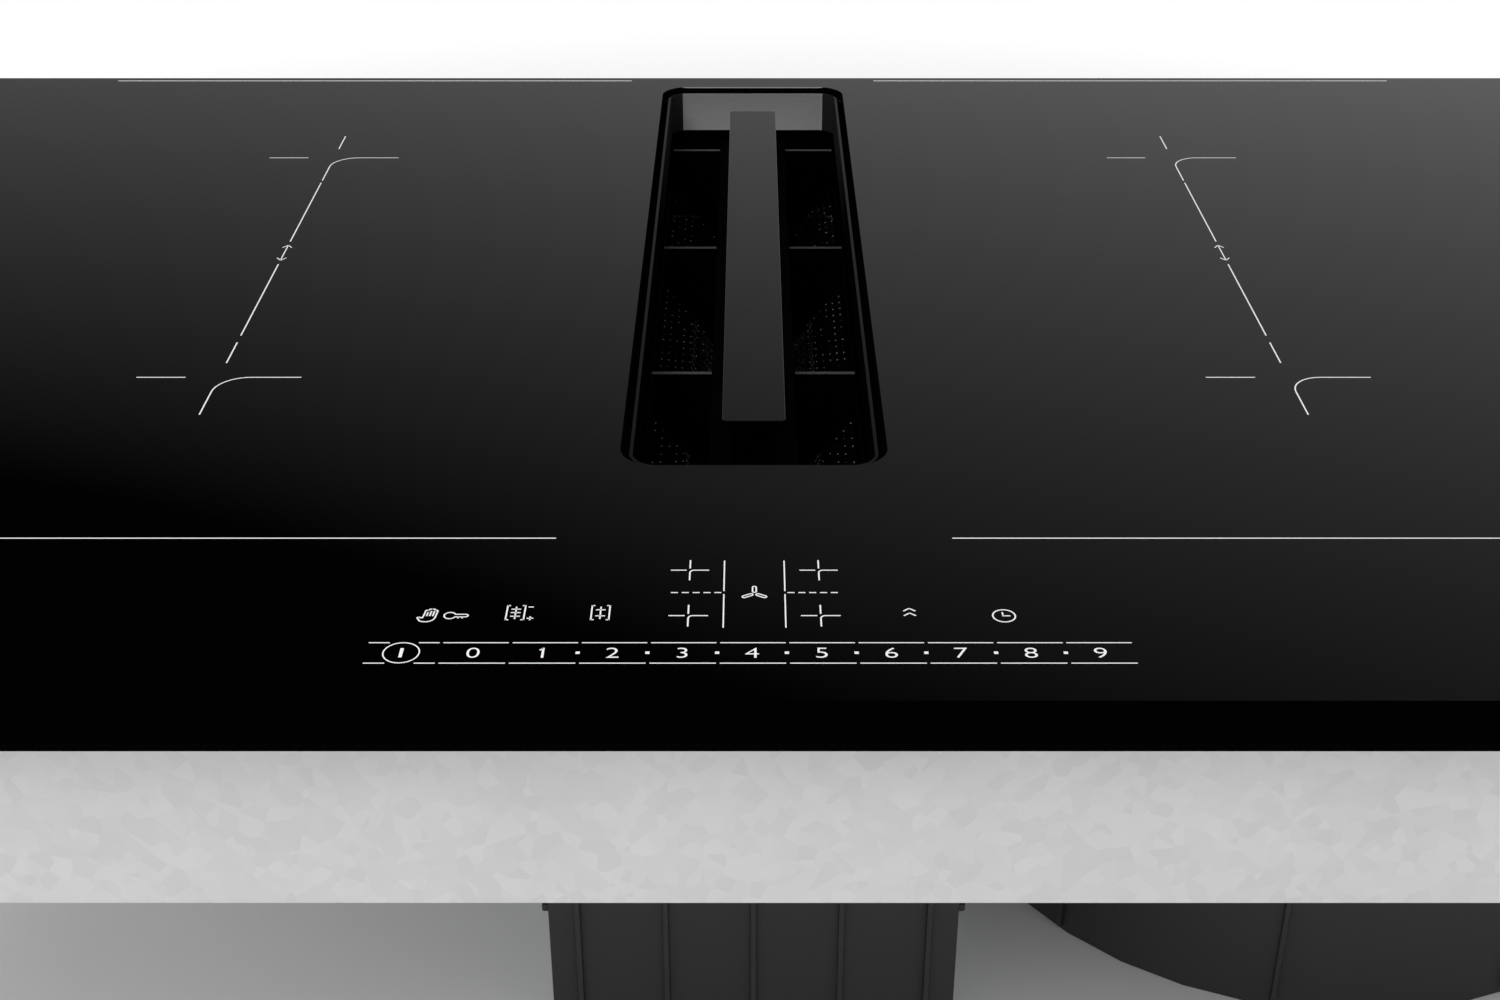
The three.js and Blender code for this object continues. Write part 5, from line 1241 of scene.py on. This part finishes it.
# ---------------------------------------------------------------------------------------------
# Tray.


def bead(bm, rect, z):
    """A long pressed bead with sloping sides, below a sheet's face at z."""
    radius = min(rect.x1 - rect.x0, rect.y1 - rect.y0) / 2 * BEAD_ROUNDNESS
    steps = [(BEAD_HEIGHT * inward, BEAD_HEIGHT * fall) for inward, fall in BEAD_SLOPES]
    loft(bm, [(rect.grow(-inward), radius - inward, z - fall) for inward, fall in steps], steps=5)


def finger_guard(bm, place):
    """Wire rings over an air vent, and three wires across them."""
    octagon = [i * math.pi / 4 for i in range(9)]
    for radius in GUARD_RINGS:
        wire = [(radius + GUARD_WIRE * math.cos(angle), GUARD_WIRE * math.sin(angle)) for angle in octagon]
        turned(bm, wire, place, steps=28)
    size = {"radius1": GUARD_WIRE, "radius2": GUARD_WIRE, "depth": 2 * GUARD_RINGS[-1]}
    for i in range(3):
        lay = Matrix.Rotation(i * math.pi / 3, 4, "Z") @ Matrix.Rotation(math.pi / 2, 4, "Y")
        bmesh.ops.create_cone(bm, cap_ends=True, segments=8, matrix=Matrix.Translation(place) @ lay, **size)


def tray_pressings(zinc):
    """Pressed beads under the tray, folded corner tabs with weld dimples, and the guards of the vents."""
    box = plan("casing_tray")
    under, over = bottom("casing_tray"), top("casing_tray")
    bm = bmesh.new()
    for x0, x1, y in BEADS:
        rect = Rect(x0 * MM, x1 * MM, y * MM, (y + BEAD_WIDTH) * MM)
        bead(bm, rect, under + BEAD_ROOT)
    for side, wall in ((-1, box.x0), (1, box.x1)):
        face = wall + side * TAB_SHEET
        for y, inward in ((box.y0, 1), (box.y1, -1)):
            near = (wall - side * TAB_ROOT, y + inward * TAB_INSET, under + TAB_ENDS[0])
            brick(bm, near, (face, y + inward * TAB_LENGTH, over - TAB_ENDS[1]), TAB_EDGE)
            for z in (under + WELD_ENDS[0], (under + over) / 2, over - WELD_ENDS[1]):
                turned(bm, WELD_DIMPLE, (face, y + inward * TAB_LENGTH / 2, z), (side, 0, 0), steps=14)
    for node in ("blower_rotor_right", "blower_rotor_left"):
        finger_guard(bm, axis_of(node) + Vector((0, 0, under - GUARD_DROP)))
    piece(bm, "tray_pressings", "cooktop", zinc)


def tray_screws(steel):
    box = plan("casing_tray")
    over = top("casing_tray")
    bm = bmesh.new()
    for side, wall in ((-1, box.x0), (1, box.x1)):
        for y in SIDE_SCREWS:
            screw(bm, (wall, y * MM, over - SCREW_ROW), (side, 0, 0))
        for y in SPRING_SCREWS:
            screw(bm, (wall + side * SPRING_SHEET, y * MM, over - SPRING_ROW), (side, 0, 0), SMALL_SCREW)
    for x in BACK_SCREWS:
        screw(bm, (x * MM, box.y1, over - SCREW_ROW), BACK)
    for x in BASE_SCREWS:
        screw(bm, (x * MM, box.y0 + BASE_SCREW_INSET, bottom("casing_tray")), DOWN)
    piece(bm, "tray_screws", "cooktop", steel)


# ---------------------------------------------------------------------------------------------
# Plenum, channel, tank, scroll and boxes.


def housing_ribs(black):
    """Upright ribs on the plenum and the channel, and the ledge above the tank."""
    box, channel = plan("plenum_housing"), plan("inlet_channel")
    low, high = bottom("plenum_housing"), top("plenum_housing")
    ledge = TANK_SPLIT + LEDGE_HEIGHT
    bm = bmesh.new()
    wall_ribs(bm, box, 1, PLENUM_END_RIBS, low + PLENUM_END_GAPS[0], high - PLENUM_END_GAPS[1])
    wall_ribs(bm, box, 0, PLENUM_SIDE_RIBS, ledge, bottom("motor_control_lid") - PLENUM_SIDE_GAP)
    for side, wall in ((-1, box.x0), (1, box.x1)):
        near = (wall - side * LEDGE_ROOT, box.y0 + LEDGE_INSET, TANK_SPLIT)
        brick(bm, near, (wall + side * LEDGE_DEPTH, box.y1 - LEDGE_INSET, ledge), LEDGE_EDGE)
    low, high = bottom("inlet_channel"), top("inlet_channel")
    wall_ribs(bm, channel, 1, CHANNEL_RIBS, low + CHANNEL_GAP, high - CHANNEL_GAP)
    piece(bm, "housing_ribs", "cooktop", black)


def tank_ribs(plastic):
    """Stiffening ribs under the tank, ribs along each side to grip, and the drain cap."""
    box = plan("overflow_tank")
    floor = bottom("overflow_tank")
    inset_x, inset_y = TANK_RIB_INSETS
    low, high = (floor + level for level in TANK_RIB_LEVELS)
    bm = bmesh.new()
    for x in TANK_LONG_RIBS:
        brick(bm, ((x - 1) * MM, box.y0 + inset_y, low), ((x + 1) * MM, box.y1 - inset_y, high))
    for y in TANK_CROSS_RIBS:
        brick(bm, (box.x0 + inset_x, (y - 1) * MM, low), (box.x1 - inset_x, (y + 1) * MM, high))
    low, high = (floor + level for level in GRIP_LEVELS)
    for side, wall in ((-1, box.x0), (1, box.x1)):
        near = (wall - side * LEDGE_ROOT, box.y0 + GRIP_INSET, low)
        brick(bm, near, (wall + side * GRIP_DEPTH, box.y1 - GRIP_INSET, high), LEDGE_EDGE)
    low, high = (floor + level for level in GRIP_RIB_LEVELS)
    wall_ribs(bm, box, 0, GRIP_RIBS, low, high, GRIP_RIB_DEPTH)
    turned(bm, DRAIN_CAP, (0, box.y0 + DRAIN_INSET, floor), DOWN, steps=12)
    piece(bm, "tank_ribs", "tank", plastic)


def rays(node):
    """A CAD piece as something that a ray can be cast at."""
    bm = bmesh.new()
    bm.from_mesh(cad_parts[node].data)
    tree = BVHTree.FromBMesh(bm)
    bm.free()
    return tree


def wall_at(tree, middle, angle, z):
    """Where a round wall stands at an angle about its axis, and which way it faces."""
    away = toward(math.radians(angle))
    point, facing, _, _ = tree.ray_cast(Vector((middle.x, middle.y, z)) + away, -away)
    return point, facing


def scroll_details(black, steel):
    """Screw bosses and fins round the scroll, ribs under the outlet duct, and the screws of both."""
    middle = axis_of("fan_motor")
    floor, parting, lid = bottom("fan_scroll_lower"), top("fan_scroll_lower"), top("fan_scroll_lid")
    walls = rays("fan_scroll_lower")
    cone = ((0, 0), (BOSS_RADIUS * 0.55, 0), (BOSS_RADIUS, BOSS_TAPER))
    boss = (*cone, (BOSS_RADIUS, BOSS_HEIGHT), (0, BOSS_HEIGHT))
    bm = bmesh.new()
    heads = bmesh.new()
    for angle in SCROLL_BOSSES:
        point, facing = wall_at(walls, middle, angle, parting - PROBE_DROP)
        centre = point + facing * BOSS_RADIUS * 0.4
        turned(bm, boss, (centre.x, centre.y, lid - BOSS_HEIGHT), steps=18)
        screw(heads, (centre.x, centre.y, lid), UP, SCROLL_SCREW)
    for angle in SCROLL_FINS:
        point, facing = wall_at(walls, middle, angle, parting - PROBE_DROP)
        rib_on(bm, point, facing, floor + FIN_ENDS[0], parting - FIN_ENDS[1], FIN_DEPTH)
    duct = plan("outlet_duct")
    under = rays("outlet_duct")
    for x in DUCT_RIBS:
        z = under.ray_cast(Vector((x * MM, DUCT_PROBE, -1)), Vector(UP))[0].z
        low, high = (z + level for level in DUCT_RIB_LEVELS)
        brick(bm, ((x - 1) * MM, DUCT_RIB_ENDS[0], low), ((x + 1) * MM, DUCT_RIB_ENDS[1], high))
    inset_x, inset_z = DUCT_SCREW_INSET
    for x in (duct.x0 + inset_x, (duct.x0 + duct.x1) / 2, duct.x1 - inset_x):
        for z in (bottom("outlet_duct") + inset_z, top("outlet_duct") - inset_z):
            screw(heads, (x, duct.y1, z), BACK, DUCT_SCREW)
    piece(bm, "scroll_bosses", "cooktop", black)
    piece(heads, "scroll_screws", "cooktop", steel)


def scroll_underside(black, steel):
    """The lower scroll, with a shallow recess under it that leaves a rim to stand on."""
    made = softened("fan_scroll_lower", "cooktop", black)
    bm = bmesh.new()
    bm.from_mesh(made.data)
    base = max((face for face in bm.faces if face.normal.z < -0.99), key=lambda face: face.calc_area())
    bmesh.ops.inset_individual(bm, faces=[base], thickness=RECESS_RIM, depth=-RECESS, use_even_offset=True)
    bm.to_mesh(made.data)
    bm.free()
    middle = axis_of("fan_motor")
    middle.z = bottom("fan_scroll_lower") + RECESS
    width, height = BASE_RING_SIZE
    bm = bmesh.new()
    for radius in BASE_RINGS:
        turned(bm, tube(radius, radius + width, 0, height), middle, DOWN, steps=48)
    for i in range(BASE_SPOKES):
        angle = i * 2 * math.pi / BASE_SPOKES
        centre = middle + toward(angle) * SPOKE_MIDDLE - Vector((0, 0, SPOKE_DROP))
        place = Matrix.Translation(centre) @ Matrix.Rotation(angle, 4, "Z")
        bmesh.ops.create_cube(bm, size=1, matrix=place @ Matrix.Diagonal((*SPOKE_SIZE, 1)))
    piece(bm, "scroll_base_ribs", "cooktop", black)
    bm = bmesh.new()
    for i in range(MOTOR_SCREWS):
        angle = i * 2 * math.pi / MOTOR_SCREWS + math.pi / 2
        screw(bm, middle + toward(angle) * MOTOR_SCREW_CIRCLE, DOWN, MOTOR_SCREW)
    piece(bm, "motor_screws", "cooktop", steel)


def box_screws(steel):
    """The screws of the control box, and those of the terminal cover, which swing with it."""
    lid = plan("motor_control_lid").grow(-LID_SCREW_INSET)
    bm = bmesh.new()
    for x in (lid.x0, lid.x1):
        for y in (lid.y0, lid.y1):
            screw(bm, (x, y, bottom("motor_control_lid")), DOWN, SMALL_SCREW)
    piece(bm, "control_box_screws", "cooktop", steel)
    cover = plan("terminal_cover").grow(-COVER_SCREW_INSET)
    bm = bmesh.new()
    for x in (cover.x0, cover.x1):
        screw(bm, (x, COVER_FACE, bottom("terminal_cover") + COVER_SCREW_ROW), BACK, SMALL_SCREW)
    piece(bm, "terminal_cover_screws", "terminal_cover", steel)


def cable_gland(black):
    """The gland: a six-sided nut, and a round cap with grips."""
    low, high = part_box("cable_gland")
    radius = (high.y - low.y) / 2
    grip = radius * 0.9
    length = high.x - low.x
    place = Vector((high.x, (low.y + high.y) / 2, (low.z + high.z) / 2))
    bm = bmesh.new()
    turned(bm, tube(GLAND_BORE, radius, 0, GLAND_NUT), place, LEFT, steps=6)
    start = (GLAND_BORE, GLAND_CAP_START)
    shoulder, taper = (length - step for step in GLAND_CAP_STEPS)
    side = [(grip, GLAND_CAP_START), (grip, shoulder), (radius * 0.8, taper)]
    turned(bm, [start, *side, (radius * 0.66, length), (GLAND_BORE, length), start], place, LEFT, steps=24)
    middle = place - Vector((length / 2 + GLAND_GRIP_SHIFT, 0, 0))
    size = Matrix.Diagonal((length - GLAND_GRIP_SHORTER, GLAND_GRIP_SIZE, GLAND_GRIP_SIZE, 1))
    for i in range(GLAND_GRIPS):
        angle = i * 2 * math.pi / GLAND_GRIPS
        centre = middle + Vector((0, math.cos(angle), math.sin(angle))) * grip
        lay = Matrix.Translation(centre) @ Matrix.Rotation(angle, 4, "X")
        bmesh.ops.create_cube(bm, size=1, matrix=lay @ size)
    piece(bm, "cable_gland_nut", "cooktop", black, "cable_gland")


# ---------------------------------------------------------------------------------------------
# The whole. Each finish is a slot name, which is not used, with its materials.

set_camera()
set_world()
add_key_light()
add_floor()

satin = satin_enamel("filter_enamel", 0.0006, 0.6, 0.008)
GLASS = ("black_glass", black_glass(), seamed_edge())
INK = ("black_glass", white_print())
RIM = ("gloss_black", frame_enamel(), satin_enamel("rim_enamel", 0.0088, 0.14, 0.055))
HANDLE = ("gloss_black", gloss_enamel("handle_enamel", grey(0.0006), 0.03, 0.02))
MESH = ("matt_black", gloss_enamel("mesh_enamel", grey(0.002), 0.3))
KNOTS = ("matt_black", knot_metal())
RIBS = ("stainless", rib_metal())
FILTER = ("gloss_black", satin)
WELL = ("matt_black", satin)
BLACK = ("matt_black", moulded("black_moulding", rgb(0.018, 0.018, 0.02), 0.5))
GREY = ("grey_plastic", moulded("grey_moulding", rgb(0.12, 0.13, 0.14), 0.48))
PALE = ("light_plastic", moulded("pale_moulding", rgb(0.42, 0.44, 0.46), 0.4, 0.2))
ZINC = ("galvanised_sheet", galvanised())
FIN = ("aluminium", drawn_metal("extruded_aluminium", grey(0.72), (0.03, 1, 1), 0.32))
PLATE = ("aluminium", drawn_metal("rolled_aluminium", grey(0.75), (1, 0.03, 1), 0.38))
STEEL = ("stainless", drawn_metal("brushed_steel", grey(0.5), (1, 0.05, 1), 0.3))
SPRING = ("stainless", drawn_metal("spring_steel", grey(0.45), (1, 1, 0.05), 0.3))
CAN = ("stainless", drawn_metal("pressed_steel_can", grey(0.55), (1, 1, 0.02), 0.34))
COPPER = ("copper_winding", litz_wire())
FERRITE = ("ferrite", sintered())
BOARD = ("circuit_board", circuit_board())
FOAM = ("foam", foam())

glass_panel(GLASS)
printed("zone_marks", INK, draw_zones)
printed("key_marks", INK, draw_zone_keys, draw_fan, draw_icons)
printed("slider_marks", INK, draw_slider)
intake_frame(RIM)
handle_bar(HANDLE)
filter_mesh(1, "filter_mesh_right", MESH, KNOTS)
filter_mesh(-1, "filter_mesh_left", MESH, KNOTS)
rib_strips(RIBS)
tray_pressings(ZINC)
tray_screws(STEEL)
housing_ribs(BLACK)
tank_ribs(PALE)
scroll_underside(BLACK, STEEL)
scroll_details(BLACK, STEEL)
box_screws(STEEL)
cable_gland(BLACK)

COOKTOP = {
    "glass_seal": FOAM,
    "intake_seal": FOAM,
    "intake_well": WELL,
    "casing_tray": ZINC,
    "touch_board": BOARD,
    "touch_board_carrier": BLACK,
    "plenum_housing": BLACK,
    "inlet_channel": BLACK,
    "fan_scroll_lid": BLACK,
    "inlet_nozzle": GREY,
    "fan_motor": CAN,
    "outlet_duct": BLACK,
    "terminal_box": GREY,
    "terminal_block": PALE,
    "motor_control_box": BLACK,
    "motor_control_lid": BLACK,
}
for side in ("right", "left"):
    COOKTOP[f"shield_plate_{side}"] = PLATE
    COOKTOP[f"power_board_{side}"] = BOARD
    COOKTOP[f"heatsink_{side}"] = FIN
    COOKTOP[f"blower_housing_{side}"] = BLACK
    COOKTOP[f"retaining_spring_{side}"] = SPRING
    for row in ("back", "front"):
        COOKTOP[f"coil_{row}_{side}"] = COPPER
        COOKTOP[f"coil_carrier_{row}_{side}"] = GREY
        COOKTOP[f"ferrite_star_{row}_{side}"] = FERRITE
        COOKTOP[f"temperature_sensor_{row}_{side}"] = BLACK
for node, finish in COOKTOP.items():
    softened(node, "cooktop", finish)
softened("filter_frame", "filter", FILTER)
softened("handle_carrier", "filter", WELL)
softened("liquid_collector", "collector", GREY)
softened("impeller", "impeller", GREY)
softened("motor_shaft", "impeller", CAN)
softened("blower_rotor_right", "blower_rotor_right", BLACK)
softened("blower_rotor_left", "blower_rotor_left", BLACK)
softened("overflow_tank", "tank", PALE)
softened("tank_seal", "tank", FOAM)
softened("backdraft_flap", "flap", GREY)
softened("terminal_cover", "terminal_cover", GREY)

bpy.context.scene.view_settings.view_transform = "Standard"
